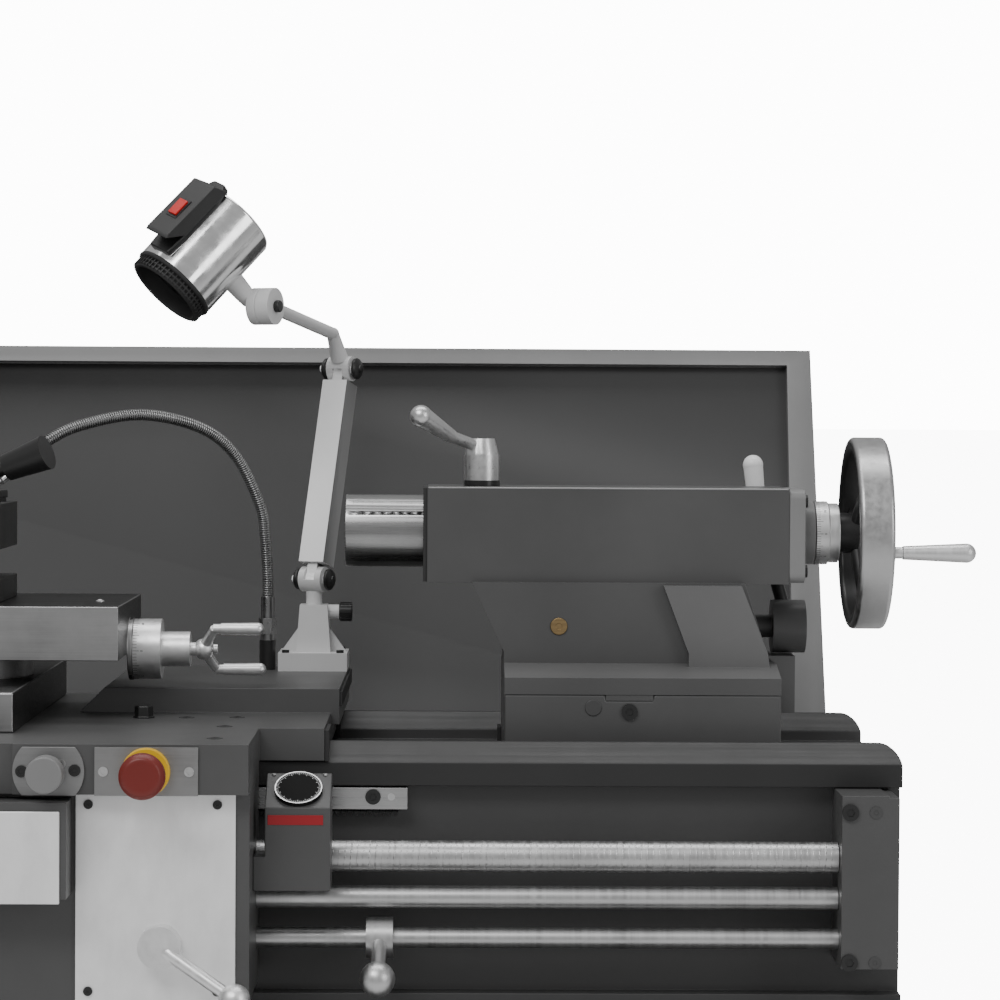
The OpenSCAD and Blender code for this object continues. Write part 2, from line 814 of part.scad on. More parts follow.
// Points that the hose passes through, from the valve to the nozzle's end.
hose_route = [
    [hose_x, hose_y, bridge_z + valve_h + hose_gap], [hose_x, hose_y, bridge_z + valve_h + 20],
    [hose_x - 3, hose_y - 3, bridge_z + 148], [hose_x - 8, hose_y - 10, bridge_z + 182],
    [hose_x - 33, hose_y - 30, bridge_z + 236], [hose_x - 70, hose_y - 60, bridge_z + 268],
    [hose_x - 131, hose_y - 100, bridge_z + 282], [hose_x - 193, hose_y - 135, bridge_z + 270],
    [hose_x - 227, hose_y - 155, bridge_z + 252], [hose_x - 256, hose_y - 170, bridge_z + 229],
    [hose_x - 270, hose_y - 178, bridge_z + 215],
];
nozzle_end = [hose_x - 290, hose_y - 188, bridge_z + 196];
hose_sides = 10;
hose_steps = 5;
function catmull(a, b, c, d, t) =
    0.5 * (2 * b + (c - a) * t + (2 * a - 5 * b + 4 * c - d) * t * t + (3 * b - a - 3 * c + d) * t * t * t);
function unit(v) = v / norm(v);
function route_at(pts, i) = pts[max(0, min(len(pts) - 1, i))];
hose_path = concat([for (i = [0:len(hose_route) - 2], k = [0:hose_steps - 1])
    catmull(route_at(hose_route, i - 1), hose_route[i], hose_route[i + 1],
            route_at(hose_route, i + 2), k / hose_steps)],
    [hose_route[len(hose_route) - 1]]);

// A closed tube swept along a path, with square ends.
module tube(path, r, sides) {
    rings = len(path);
    points = [for (i = [0:rings - 1])
        let (t = unit(route_at(path, i + 1) - route_at(path, i - 1)),
             u = unit(cross([0.3, 1, 0.1], t)), v = cross(t, u))
        for (k = [0:sides - 1]) path[i] + r * (cos(k * 360 / sides) * u + sin(k * 360 / sides) * v)];
    walls = [for (i = [0:rings - 2], k = [0:sides - 1])
        let (a = i * sides + k, b = i * sides + (k + 1) % sides)
        [a, a + sides, b + sides, b]];
    ends = [[for (k = [0:sides - 1]) k], [for (k = [sides - 1:-1:0]) (rings - 1) * sides + k]];
    polyhedron(points = points, faces = concat(walls, ends), convexity = 6);
}

module coolant_hose() {
    color("silver") on_axis() {
        tube(hose_path, hose_r, hose_sides);
        strut(hose_route[len(hose_route) - 1], nozzle_end, hose_r - 1, hose_r - 2);
    }
}

// ---- cross-slide, compound and tool post
post_y = -35;
cross_y0 = -(way_y + 92);
cross_y1 = way_y + 12;
cross_z1 = deck_z + 39;
base_h = 23;
base_r = 90;
rest_z = cross_z1 + base_h;
module cross_slide() {
    color("silver") on_axis() difference() {
        block([cross_x - cross_w / 2, cross_y0, deck_z], [cross_x + cross_w / 2, cross_y1, cross_z1]);
        along_y(cross_y0 - over, cross_y1 + over) translate([cross_x, deck_z])
            dovetail(dove_r0, dove_r1, dove_h, slide_fit);
        translate([cross_x, post_y, cross_z1 - 10]) cylinder(h = 10 + over, r = 20 + run_fit);
    }
}

// A crank with its dial, hub and one handle, pointing along -Y.
module cross_crank() {
    y1 = box_y0 + 5 - face_gap;
    arm = 52;
    color("silver") on_axis() {
        bar_y(y1, box_y0 + 60, cross_shaft_r - run_fit, cross_x, cross_screw_z);
        bar_y(y1 - 26, y1, 27, cross_x, cross_screw_z);
        bar_y(y1 - 52, y1 - 25, 18, cross_x, cross_screw_z);
        strut([cross_x, y1 - 42, cross_screw_z], [cross_x + arm, y1 - 46, cross_screw_z], 8, 6);
        turn_handle(cross_x + arm, y1 - 40, cross_screw_z, 66);
    }
}

top_dove = 45;
top_dove_h = 18;
module compound_base() {
    color("silver") on_axis() {
        translate([cross_x, post_y, cross_z1]) cylinder(h = base_h, r = base_r);
        translate([cross_x, post_y, cross_z1 - 9.5]) cylinder(h = 10, r = 20);
        along_x(cross_x - base_r, cross_x + base_r) translate([post_y, rest_z])
            dovetail(top_dove, top_dove + 10, top_dove_h, 0);
    }
}

top_x1 = cross_x + 190;
top_x0 = top_x1 - top_len;
top_z1 = rest_z + top_h;
crank_z = rest_z + 4;
crank_shaft_r = 7;
crank_flange = 5;
post_stud_r = 12;
module top_slide() {
    flange_r = 32;
    y0 = post_y - top_w / 2;
    color("silver") on_axis() difference() {
        union() {
            block([top_x0, y0, rest_z], [top_x1, y0 + top_w, top_z1]);
            bar_x(top_x1, top_x1 + crank_flange, flange_r, post_y, crank_z);
            translate([cross_x, post_y, top_z1]) cylinder(h = post_h + 8, r = post_stud_r);
        }
        along_x(top_x0 - over, top_x1 - 25) translate([post_y, rest_z])
            dovetail(top_dove, top_dove + 10, top_dove_h, slide_fit);
        bar_x(top_x1 - 20, top_x1 + crank_flange + over, crank_shaft_r, post_y, crank_z);
    }
}

module compound_crank() {
    x0 = top_x1 + crank_flange + face_gap;
    hub_x = x0 + 71;
    turn_r = 29;
    swing = 40;
    color("silver") on_axis() {
        bar_x(top_x1 - 18, x0 + over, crank_shaft_r - run_fit, post_y, crank_z);
        bar_x(x0, x0 + 28, 31, post_y, crank_z);
        bar_x(x0 + 27, x0 + 57, 18, post_y, crank_z);
        bar_x(x0 + 56, hub_x, 7, post_y, crank_z);
        bar_x(hub_x, hub_x + 14, 5, post_y, crank_z);
        translate([hub_x, post_y, crank_z]) sphere(r = 11);
        translate([hub_x, post_y, crank_z]) rotate([swing, 0, 0]) for (s = [-1, 1]) {
            strut([2, 0, s * 7], [12, 0, s * turn_r], 5.6, 4.5);
            translate([11, 0, s * turn_r]) rotate([0, 90, 0]) grip(52, 5, 6.5);
        }
    }
}

post_h = 100;
post_slot = 30;
post_core = 72;
module tool_post() {
    jaw_t = 24;
    color("gray") on_axis() translate([cross_x, post_y, top_z1]) difference() {
        union() {
            translate([-post_core / 2, -post_core / 2, 0]) cube([post_core, post_core, post_h]);
            for (z = [0, jaw_t + post_slot])
                translate([-post_w / 2, -post_w / 2, z])
                    cube([post_w, post_w, z == 0 ? jaw_t : post_h - z]);
        }
        translate([0, 0, -over]) cylinder(h = post_h + 2 * over, r = post_stud_r + run_fit);
    }
}

module tool_post_lever() {
    z0 = top_z1 + post_h + face_gap;
    arm = [66, -18, 24];
    tip = [108, -30, 40];
    color("black") on_axis() translate([cross_x, post_y, z0]) difference() {
        union() {
            cylinder(h = 30, r = 24);
            strut([16, -4, 18], arm + [0, 0, 12], 8, 7);
            strut(arm + [0, 0, 12], tip + [0, 0, 12], 14, 18);
        }
        translate([0, 0, -over]) cylinder(h = 12, r = post_stud_r + run_fit);
    }
}

// ---- work lamp
lamp_x = cross_x + 368;
lamp_y = way_y + 67;
pivot_lo = [lamp_x, lamp_y, bridge_z + 100];
lean_dir = [sin(lamp_yaw), cos(lamp_yaw), 0];
pin_dir = [cos(lamp_yaw), -sin(lamp_yaw), 0];
pivot_hi = pivot_lo + arm_lean * lean_dir + [0, 0, arm_rise];
elbow = pivot_hi - 24 * lean_dir + [0, 0, 39];
knuckle = elbow - 169 * lean_dir + [0, 0, 25];
head_mid = knuckle + [-61, -16, 60];
head_dir = unit([-0.63, -0.29, -0.72]);
switch_dir = unit(cross(head_dir, cross([-0.36, -0.72, 0.6], head_dir)));
post_r = 8.9;
pin_r = 4;
module lamp_base() {
    plate = [76, 72, 12];
    seat = 8;
    neck_r = 16;
    color("silver") on_axis() translate([lamp_x, lamp_y, bridge_z]) difference() {
        union() {
            translate([-plate.x / 2, -plate.y / 2, 0]) cube([plate.x, plate.y, plate.z + seat]);
            translate([0, 0, plate.z + seat]) linear_extrude(height = 52, scale = 0.8)
                square([38, 38], center = true);
            rotate([90, 0, 0]) linear_extrude(height = 6, center = true)
                polygon([[-36, 20], [36, 20], [16, 48], [-16, 48]]);
            bar_x(neck_r - 4, neck_r + 16, 7.8, 0, 64);
        }
        translate([0, 0, 30]) cylinder(h = 60, r = post_r + run_fit);
    }
}

// The swivelling post ends in a fork across the lower pin.
fork_w = 27;
lug_w = 12;
lug_r = 10.5;
lug_fit = 0.3;
fork_r = 14;
module lamp_post() {
    color("silver") on_axis() {
        translate([lamp_x, lamp_y, bridge_z + 32]) cylinder(h = 55, r = post_r);
        difference() {
            aim(pivot_lo - fork_w / 2 * pin_dir, pin_dir) cylinder(h = fork_w, r = fork_r);
            aim(pivot_lo - (lug_w / 2 + lug_fit) * pin_dir, pin_dir)
                cylinder(h = lug_w + 2 * lug_fit, r = lug_r + lug_fit);
            translate(pivot_lo) lamp_slot();
            aim(pivot_lo - 30 * pin_dir, pin_dir) cylinder(h = 60, r = pin_r);
        }
    }
}

module lamp_slot() {
    reach = 16;
    w = lug_w + 2 * lug_fit;
    rotate([0, 0, -lamp_yaw]) translate([-w / 2, -reach, 0]) cube([w, 2 * reach, reach]);
}

// The lower arm is a channel between two tongues, with a pin and friction discs at each end.
module lamp_arm() {
    along = unit(pivot_hi - pivot_lo);
    arm_l = norm(pivot_hi - pivot_lo);
    disc_t = 5;
    color("silver") on_axis() {
        for (p = [pivot_lo, pivot_hi])
            aim(p - lug_w / 2 * pin_dir, pin_dir) cylinder(h = lug_w, r = lug_r);
        translate(pivot_lo) rotate([0, 0, -lamp_yaw]) rotate([-atan2(arm_lean, arm_rise), 0, 0]) {
            translate([-lug_w / 2, -9, 0]) cube([lug_w, 18, arm_l]);
            translate([-15, -14, 17]) cube([30, 28, arm_l - 34]);
        }
        for (p = [pivot_lo, pivot_hi]) {
            aim(p - 26 * pin_dir, pin_dir) cylinder(h = 50, r = pin_r - run_fit);
            aim(p + (fork_w / 2 + face_gap) * pin_dir, pin_dir) cylinder(h = disc_t, r = 7.5);
            aim(p - (fork_w / 2 + face_gap + disc_t) * pin_dir, pin_dir) cylinder(h = disc_t, r = 7.5);
        }
    }
}

// The upper rod starts in a fork, turns over an elbow and ends in the knuckle's disc.
knuckle_w = 12;
knuckle_r = 20;
module lamp_rod() {
    rod_r = 7;
    to_elbow = unit(elbow - pivot_hi);
    rod_end = knuckle + (rod_r + over) * pin_dir;
    to_knuckle = unit(rod_end - elbow);
    color("silver") on_axis() {
        difference() {
            aim(pivot_hi - fork_w / 2 * pin_dir, pin_dir) cylinder(h = fork_w, r = fork_r);
            aim(pivot_hi - (lug_w / 2 + lug_fit) * pin_dir, pin_dir)
                cylinder(h = lug_w + 2 * lug_fit, r = lug_r + lug_fit);
            translate(pivot_hi) mirror([0, 0, 1]) lamp_slot();
            aim(pivot_hi - 30 * pin_dir, pin_dir) cylinder(h = 60, r = pin_r);
        }
        strut(pivot_hi + (fork_r - over) * to_elbow, elbow, 10, rod_r);
        translate(elbow) sphere(r = rod_r + 0.3);
        strut(elbow, rod_end - (knuckle_r - 4) * to_knuckle, rod_r, rod_r);
        difference() {
            aim(knuckle, pin_dir) cylinder(h = knuckle_w + 3, r = knuckle_r);
            aim(knuckle - over * pin_dir, pin_dir) cylinder(h = 3 * knuckle_w, r = pin_r);
        }
    }
}

// A closed lamp shell with its half of the knuckle and the raised switch housing.
switch_half = [34, 17];
shell_t = 3;
bezel_in = 20;
module lamp_head() {
    side = unit(cross(head_dir, switch_dir));
    color("gainsboro") on_axis() {
        difference() {
            union() {
                aim(head_mid - lamp_len / 2 * head_dir, head_dir) cylinder(h = lamp_len, r = lamp_r);
                strut(knuckle - knuckle_w * pin_dir, head_mid + [18, 0, -20], 9, 12);
            }
            aim(head_mid - (lamp_len / 2 - shell_t) * head_dir, head_dir)
                cylinder(h = lamp_len, r = lamp_r - shell_t);
        }
        aim(knuckle - (knuckle_w + face_gap) * pin_dir, pin_dir) cylinder(h = knuckle_w, r = knuckle_r);
        aim(knuckle - knuckle_w * pin_dir, pin_dir) cylinder(h = 34, r = pin_r - 2 * run_fit);
        lamp_frame() difference() {
            translate([-switch_half.y, 0, -switch_half.x - 12]) cube([2 * switch_half.y, lamp_r + 22, 2 * switch_half.x + 24]);
            translate([-6.4, lamp_r + 16, -10.6]) cube([12.8, 10, 21.2]);
            translate([0, 0, -lamp_len]) cylinder(h = 2 * lamp_len, r = lamp_r - over);
        }
    }
}

// The head's own frame: +Z along its axis towards the mouth, +Y towards the switch.
module lamp_frame() {
    e_x = cross(switch_dir, head_dir);
    multmatrix([
        [e_x.x, switch_dir.x, head_dir.x, head_mid.x],
        [e_x.y, switch_dir.y, head_dir.y, head_mid.y],
        [e_x.z, switch_dir.z, head_dir.z, head_mid.z],
        [0, 0, 0, 1],
    ]) children();
}

module lamp_bezel() {
    lip = 16;
    lens_in = 18;
    r = lamp_r - shell_t - run_fit;
    color("black") on_axis() lamp_frame() translate([0, 0, lamp_len / 2 - bezel_in]) rotate_extrude()
        polygon([
            [0, 0], [r, 0], [r, bezel_in + lip], [r - 6, bezel_in + lip], [r - 9, lens_in], [0, lens_in],
        ]);
}

module lamp_switch() {
    color("red") on_axis() lamp_frame() translate([-6, lamp_r + 17.6, -10]) cube([12, 6.8, 20]);
}

// ---- tailstock
tail_x0 = right_x - 472;
tail_x1 = tail_x0 + tail_len;
tail_z0 = -51;
tail_z1 = tail_z0 + tail_h;
foot_x0 = tail_x0 + 79;
foot_x1 = tail_x0 + 358;
seam_z = way_z + 43;
tail_flange = 17;
foot_y = way_y - 38;
key_x0 = tail_x0 + 181;
key_x1 = key_x0 + 48;
key_h = 6;
clamp_bolt_r = 10;
clamp_x = (key_x0 + key_x1) / 2;
quill_x0 = tail_x0 - quill_out;
quill_len = 300;
tail_screw_r = 12;
module tailstock_base() {
    color("dimgray") on_axis() difference() {
        block([foot_x0, -foot_y, flat_z], [foot_x1, foot_y, seam_z]);
        block([key_x0, -foot_y - over, seam_z - key_h], [key_x1, foot_y + over, seam_z + over]);
        translate([clamp_x, 0, flat_z - over]) cylinder(h = 120, r = clamp_bolt_r + run_fit);
    }
}

lock_x = tail_x0 + 56;
module tailstock_body() {
    front = -70;
    proud = -82;
    col_top0 = tail_x0 + 46;
    col_top1 = tail_x0 + 325;
    col_low1 = tail_x0 + 353;
    ledge_z = way_z + 82;
    slope_z = seam_z + tail_flange + 11;
    lug_y0 = 15;
    lug_y1 = 85;
    lug_out = 28;
    color("dimgray") on_axis() difference() {
        union() {
            block([tail_x0, -tail_w / 2, tail_z0], [tail_x1, tail_w / 2, tail_z1]);
            along_y(front, -front) polygon([
                [foot_x0, seam_z + over], [col_low1, seam_z + over], [col_low1 - 5, ledge_z],
                [col_top1, tail_z0 + over], [col_top0, tail_z0 + over], [foot_x0, ledge_z],
            ]);
            along_y(proud, -proud) polygon([
                [foot_x0 + 188, seam_z + over], [col_low1, seam_z + over], [col_low1 - 5, ledge_z],
                [col_top1 - 4, tail_z0 - over], [col_top0 + 195, tail_z0 - over], [foot_x0 + 188, ledge_z],
            ]);
            along_x(foot_x0, foot_x1) polygon([
                [-foot_y, seam_z], [foot_y, seam_z], [foot_y, seam_z + tail_flange],
                [-front, slope_z], [front, slope_z], [-foot_y, seam_z + tail_flange],
            ]);
            block([key_x0, -foot_y + over, seam_z - key_h], [key_x1, foot_y - over, seam_z + over]);
            block([foot_x1, lug_y0, seam_z - 30], [foot_x1 + lug_out, lug_y1, seam_z + over]);
            block([foot_x1 - 4, lug_y0, seam_z], [foot_x1 + lug_out, lug_y1, clamp_z - clamp_r - over]);
        }
        bar_x(tail_x0 - over, tail_x1 - 30, quill_r + run_fit);
        bar_x(tail_x1 - 31, tail_x1 + over, tail_screw_r + 8);
        translate([lock_x, 0, quill_r - over]) cylinder(h = 60, r = 10);
        translate([clamp_x, 0, seam_z - 20]) cylinder(h = 70, r = clamp_bolt_r + run_fit);
        bar_x(foot_x1 - clamp_shaft_l, tail_x1, clamp_shaft_r + run_fit, clamp_y, clamp_z);
    }
}

cap_t = 17;
ring_t = 14;
tail_dial_r = 33;
module tailstock_end_cap() {
    edge = 10;
    color("silver") on_axis() difference() {
        union() {
            along_x(tail_x1, tail_x1 + cap_t)
                round_rect([-tail_w / 2 + 1, tail_z0 + 1], [tail_w / 2 - 1, tail_z1 - 1], edge);
            bar_x(tail_x1 + cap_t - over, tail_x1 + cap_t + ring_t, tail_dial_r);
        }
        bar_x(tail_x1 - over, tail_x1 + cap_t + ring_t + over, tail_screw_r);
    }
}

module quill() {
    taper_r = 22.2;
    taper_len = 130;
    color("silver") on_axis() difference() {
        bar_x(quill_x0, quill_x0 + quill_len, quill_r);
        translate([quill_x0 - 0.01, 0, 0]) rotate([0, 90, 0])
            cylinder(h = taper_len, r1 = taper_r, r2 = taper_r - 3.4);
        bar_x(quill_x0 + taper_len - over, quill_x0 + quill_len + over, tail_screw_r + 1);
    }
}

dial_x0 = tail_x1 + cap_t + ring_t + face_gap;
dial_w = 25;
wheel_x0 = dial_x0 + dial_w;
hub_len = 39;
rim_x0 = wheel_x0 + 12;
wheel_bore_r = 9;
handle_r = wheel_r - 17;
module quill_screw() {
    color("silver") on_axis() {
        bar_x(quill_x0 + 150, dial_x0, tail_screw_r - run_fit);
        bar_x(dial_x0 - over, wheel_x0 + hub_len, wheel_bore_r);
    }
}

module tailstock_dial() {
    knurl_w = 11;
    color("silver") on_axis() difference() {
        union() {
            bar_x(dial_x0, dial_x0 + dial_w - knurl_w, tail_dial_r);
            bar_x(dial_x0 + dial_w - knurl_w - over, dial_x0 + dial_w, tail_dial_r - 2);
        }
        bar_x(dial_x0 - over, dial_x0 + dial_w + over, wheel_bore_r);
    }
}

module tailstock_handwheel() {
    stud_r = 9;
    color("silver") on_axis() {
        translate([rim_x0, 0, 0]) rotate([0, 90, 0]) rotate([0, 0, 12]) {
            spoked_wheel(wheel_r, wheel_rim_w, 21, wheel_x0 - rim_x0, wheel_x0 - rim_x0 + hub_len, wheel_bore_r);
        }
        handle_place() translate([0, 0, -wheel_rim_w + over])
            cylinder(h = wheel_rim_w, r = stud_r);
    }
}

module handle_place() {
    drop = -17;
    translate([rim_x0 + wheel_rim_w, -sqrt(handle_r * handle_r - drop * drop), drop])
        rotate([0, 90, 0]) children();
}

module tailstock_handle() {
    color("silver") on_axis() handle_place() translate([0, 0, over]) grip(83, 6, 10);
}

module quill_lock_lever() {
    tip = [-63, -60, 72];
    color("silver") on_axis() translate([lock_x, 0, tail_z1 + face_gap]) {
        cylinder(h = 6, r = 18.5);
        translate([0, 0, 6]) cylinder(h = 25, r = 18.5);
        translate([0, 0, 31]) cylinder(h = 18, r1 = 18.5, r2 = 13.5);
        translate([0, 0, -8]) cylinder(h = 9, r = 10 - run_fit);
        strut([-8, -8, 42], tip * 0.6 + [0, 0, 10], 6, 6);
        strut(tip * 0.5 + [0, 0, 15], tip, 7, 11);
        translate(tip) sphere(r = 11.3);
    }
}

clamp_y = 50;
clamp_z = tail_z0 - 50;
clamp_r = 28;
clamp_shaft_r = 12;
clamp_shaft_l = 45;
module clamp_lever() {
    x0 = foot_x1 + 6;
    x1 = x0 + 35;
    root = [x0 + 16, clamp_y + 20, clamp_z + 16];
    knee = [x0 - 12, tail_w / 2 + 25, tail_z0 + 70];
    top = [x0 - 17, tail_w / 2 + 27, tail_z1 + 22];
    color("silver") on_axis() {
        bar_x(x0, x1, clamp_r, clamp_y, clamp_z);
        bar_x(foot_x1 - clamp_shaft_l, x0 + over, clamp_shaft_r, clamp_y, clamp_z);
        strut(root, knee, 7, 7);
        strut(knee, top, 9, 10.5);
        translate(top) sphere(r = 10.8);
    }
}

module tailstock_clamp() {
    under = flat_z - 30;
    color("gray") on_axis() {
        block([clamp_x - 45, 12 - web_y + bed_web, under - 25], [clamp_x + 45, web_y - bed_web - 12, under - 0.5]);
        translate([clamp_x, 0, under - 2]) cylinder(h = 120, r = clamp_bolt_r);
    }
}

bed();
headstock_casing();
headstock_cover();
spindle_bearings();
feed_gearbox();
headstock_pedestal();
tailstock_pedestal();
chip_tray();
splash_guard();
rack();
leadscrew_bracket();
motor();
drive_belt();
motor_pulley();
input_pulley();
spindle();
chuck_body();
chuck_jaws();
speed_lever();
end_cover();
leadscrew();
feed_rod();
control_rod();
saddle();
apron();
oil_pump_plate();
oil_pump_knob();
estop_plate();
estop_button();
apron_handwheel();
half_nut_lever();
thread_dial_housing();
thread_dial();
coolant_valve();
coolant_hose();
cross_slide();
cross_crank();
compound_base();
top_slide();
compound_crank();
tool_post();
tool_post_lever();
lamp_base();
lamp_post();
lamp_arm();
lamp_rod();
lamp_head();
lamp_bezel();
lamp_switch();
tailstock_base();
tailstock_body();
tailstock_end_cap();
quill();
quill_screw();
tailstock_dial();
tailstock_handwheel();
tailstock_handle();
quill_lock_lever();
clamp_lever();
tailstock_clamp();
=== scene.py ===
import json
import math
import bmesh
import bpy
from mathutils import Matrix, Vector


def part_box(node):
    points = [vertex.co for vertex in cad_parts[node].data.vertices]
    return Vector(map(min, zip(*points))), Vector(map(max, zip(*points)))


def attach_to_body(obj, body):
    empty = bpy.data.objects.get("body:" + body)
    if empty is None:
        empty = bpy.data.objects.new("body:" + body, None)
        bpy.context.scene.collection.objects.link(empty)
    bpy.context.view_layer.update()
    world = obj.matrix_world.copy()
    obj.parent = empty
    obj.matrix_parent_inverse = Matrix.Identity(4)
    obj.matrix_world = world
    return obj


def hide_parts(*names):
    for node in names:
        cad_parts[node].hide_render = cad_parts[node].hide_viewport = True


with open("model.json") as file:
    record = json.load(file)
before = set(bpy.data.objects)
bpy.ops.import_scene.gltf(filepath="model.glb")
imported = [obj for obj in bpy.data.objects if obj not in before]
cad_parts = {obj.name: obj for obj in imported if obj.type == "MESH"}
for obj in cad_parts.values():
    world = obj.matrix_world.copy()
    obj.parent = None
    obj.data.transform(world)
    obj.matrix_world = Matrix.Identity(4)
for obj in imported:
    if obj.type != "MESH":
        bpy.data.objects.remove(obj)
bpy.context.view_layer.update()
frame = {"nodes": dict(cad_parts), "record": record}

MM = 0.001
AXIS = 1.15
TAU = 2 * math.pi
ROOM_LIGHT = 0.42
ROOM_SEEN = 13.0
FLOOR_SEEN = 10.0
FLOOR_REACH = 300
LENS_MM = 113.7
CAMERA_AT = (0.628, -3.29, 1.272)
CAMERA_YAW, CAMERA_PITCH, CAMERA_ROLL = -0.82, 90 - 1.56, 0.34


def at(x, y, rise):
    """A place in millimetres, its height taken from the spindle axis."""
    return Vector((x * MM, y * MM, AXIS + rise * MM))


# ---- camera, floor and light
def make_camera():
    data = bpy.data.cameras.new("camera")
    data.sensor_width = 36
    data.lens = LENS_MM
    camera = bpy.data.objects.new("camera", data)
    bpy.context.scene.collection.objects.link(camera)
    yaw = Matrix.Rotation(math.radians(CAMERA_YAW), 4, "Z")
    pitch = Matrix.Rotation(math.radians(CAMERA_PITCH), 4, "X")
    roll = Matrix.Rotation(math.radians(CAMERA_ROLL), 4, "Z")
    camera.matrix_world = Matrix.Translation(CAMERA_AT) @ yaw @ pitch @ roll
    bpy.context.scene.camera = camera


def make_floor():
    bm = bmesh.new()
    bmesh.ops.create_grid(bm, x_segments=8, y_segments=8, size=FLOOR_REACH)
    floor = mesh_object("floor", bm)
    floor.data.materials.append(floor_paint())


def make_light(name, place, target, size, power):
    data = bpy.data.lights.new(name, "AREA")
    data.shape = "RECTANGLE"
    data.size, data.size_y = size
    data.energy = power
    light = bpy.data.objects.new(name, data)
    light.location = place
    light.rotation_euler = (Vector(target) - Vector(place)).to_track_quat("-Z", "Y").to_euler()
    bpy.context.scene.collection.objects.link(light)


def make_lights():
    """A pale room that looks brighter than the light it throws, and three soft boxes."""
    world = bpy.data.worlds.new("studio")
    bpy.context.scene.world = world
    world.use_nodes = True
    tree = world.node_tree
    ground = tree.nodes["Background"]
    ground.inputs["Color"].default_value = (1.0, 1.0, 1.0, 1.0)
    seen = tree.nodes.new("ShaderNodeLightPath").outputs["Is Camera Ray"]
    tree.links.new(spread(tree, seen, 0.0, 1.0, ROOM_LIGHT, ROOM_SEEN), ground.inputs["Strength"])
    make_light("key", (-1.2, -3.4, 4.4), (0.3, 0.0, 1.0), (3.0, 1.6), 110)
    make_light("fill", (3.6, -2.6, 2.2), (0.6, 0.0, 1.1), (1.4, 2.2), 30)
    make_light("top", (0.4, 0.2, 4.6), (0.4, 0.1, 1.1), (4.0, 1.2), 60)


# ---- meshes
def mesh_object(name, bm):
    mesh = bpy.data.meshes.new(name)
    bm.to_mesh(mesh)
    bm.free()
    piece = bpy.data.objects.new(name, mesh)
    bpy.context.scene.collection.objects.link(piece)
    return piece


def settle(piece):
    """Turns a piece and its modifiers into a plain mesh."""
    bpy.context.view_layer.update()
    graph = bpy.context.evaluated_depsgraph_get()
    plain = bpy.data.meshes.new_from_object(piece.evaluated_get(graph), depsgraph=graph)
    piece.modifiers.clear()
    piece.data = plain
    plain.name = piece.name
    return piece


def soften(piece, width, segments=2, angle=38):
    """Rounds the sharp edges and evens the shading."""
    edge = piece.modifiers.new("edge", "BEVEL")
    edge.width = width * MM
    edge.segments = segments
    edge.limit_method = "ANGLE"
    edge.angle_limit = math.radians(angle)
    edge.miter_outer = "MITER_ARC"
    piece.data.shade_smooth()
    even = piece.modifiers.new("even", "WEIGHTED_NORMAL")
    even.keep_sharp = True
    return settle(piece)


def cad_copy(node, name):
    """A merged copy of a CAD node, its flat faces joined."""
    bm = bmesh.new()
    bm.from_mesh(frame["nodes"][node].data)
    bmesh.ops.remove_doubles(bm, verts=bm.verts, dist=0.00001)
    bmesh.ops.dissolve_limit(bm, angle_limit=math.radians(0.6), verts=bm.verts, edges=bm.edges)
    return mesh_object(name, bm)


def dress(piece, body, slot, material, *nodes):
    """Gives a piece its finish and its body, and hides the CAD nodes that it stands for."""
    piece.data.materials.clear()
    piece.data.materials.append(material)
    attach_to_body(piece, body)
    if nodes:
        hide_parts(*nodes)
    return piece


# ---- shader groups
def group(name, inputs, outputs):
    tree = bpy.data.node_groups.new(name, "ShaderNodeTree")
    for kind, label, value in inputs:
        socket = tree.interface.new_socket(label, in_out="INPUT", socket_type=kind)
        socket.default_value = value
    for kind, label in outputs:
        tree.interface.new_socket(label, in_out="OUTPUT", socket_type=kind)
    return tree, tree.nodes.new("NodeGroupInput"), tree.nodes.new("NodeGroupOutput")


def math_node(tree, operation, a, b, clamp=False):
    node = tree.nodes.new("ShaderNodeMath")
    node.operation = operation
    node.use_clamp = clamp
    for socket, value in zip(node.inputs, (a, b)):
        if isinstance(value, (int, float)):
            socket.default_value = value
        else:
            tree.links.new(value, socket)
    return node.outputs[0]


def noise_node(tree, place, scale, detail=4.0, roughness=0.6):
    node = tree.nodes.new("ShaderNodeTexNoise")
    node.inputs["Detail"].default_value = detail
    node.inputs["Roughness"].default_value = roughness
    tree.links.new(place, node.inputs["Vector"])
    if isinstance(scale, (int, float)):
        node.inputs["Scale"].default_value = scale
    else:
        tree.links.new(scale, node.inputs["Scale"])
    return node.outputs["Fac"]


def stretched(tree, place, stretch):
    node = tree.nodes.new("ShaderNodeVectorMath")
    node.operation = "MULTIPLY"
    tree.links.new(place, node.inputs[0])
    if isinstance(stretch, tuple):
        node.inputs[1].default_value = stretch
    else:
        tree.links.new(stretch, node.inputs[1])
    return node.outputs[0]


def spread(tree, value, low, high, out_low=0.0, out_high=1.0):
    node = tree.nodes.new("ShaderNodeMapRange")
    node.inputs["From Min"].default_value = low
    node.inputs["From Max"].default_value = high
    for label, end in (("To Min", out_low), ("To Max", out_high)):
        if isinstance(end, (int, float)):
            node.inputs[label].default_value = end
        else:
            tree.links.new(end, node.inputs[label])
    tree.links.new(value, node.inputs["Value"])
    return node.outputs["Result"]


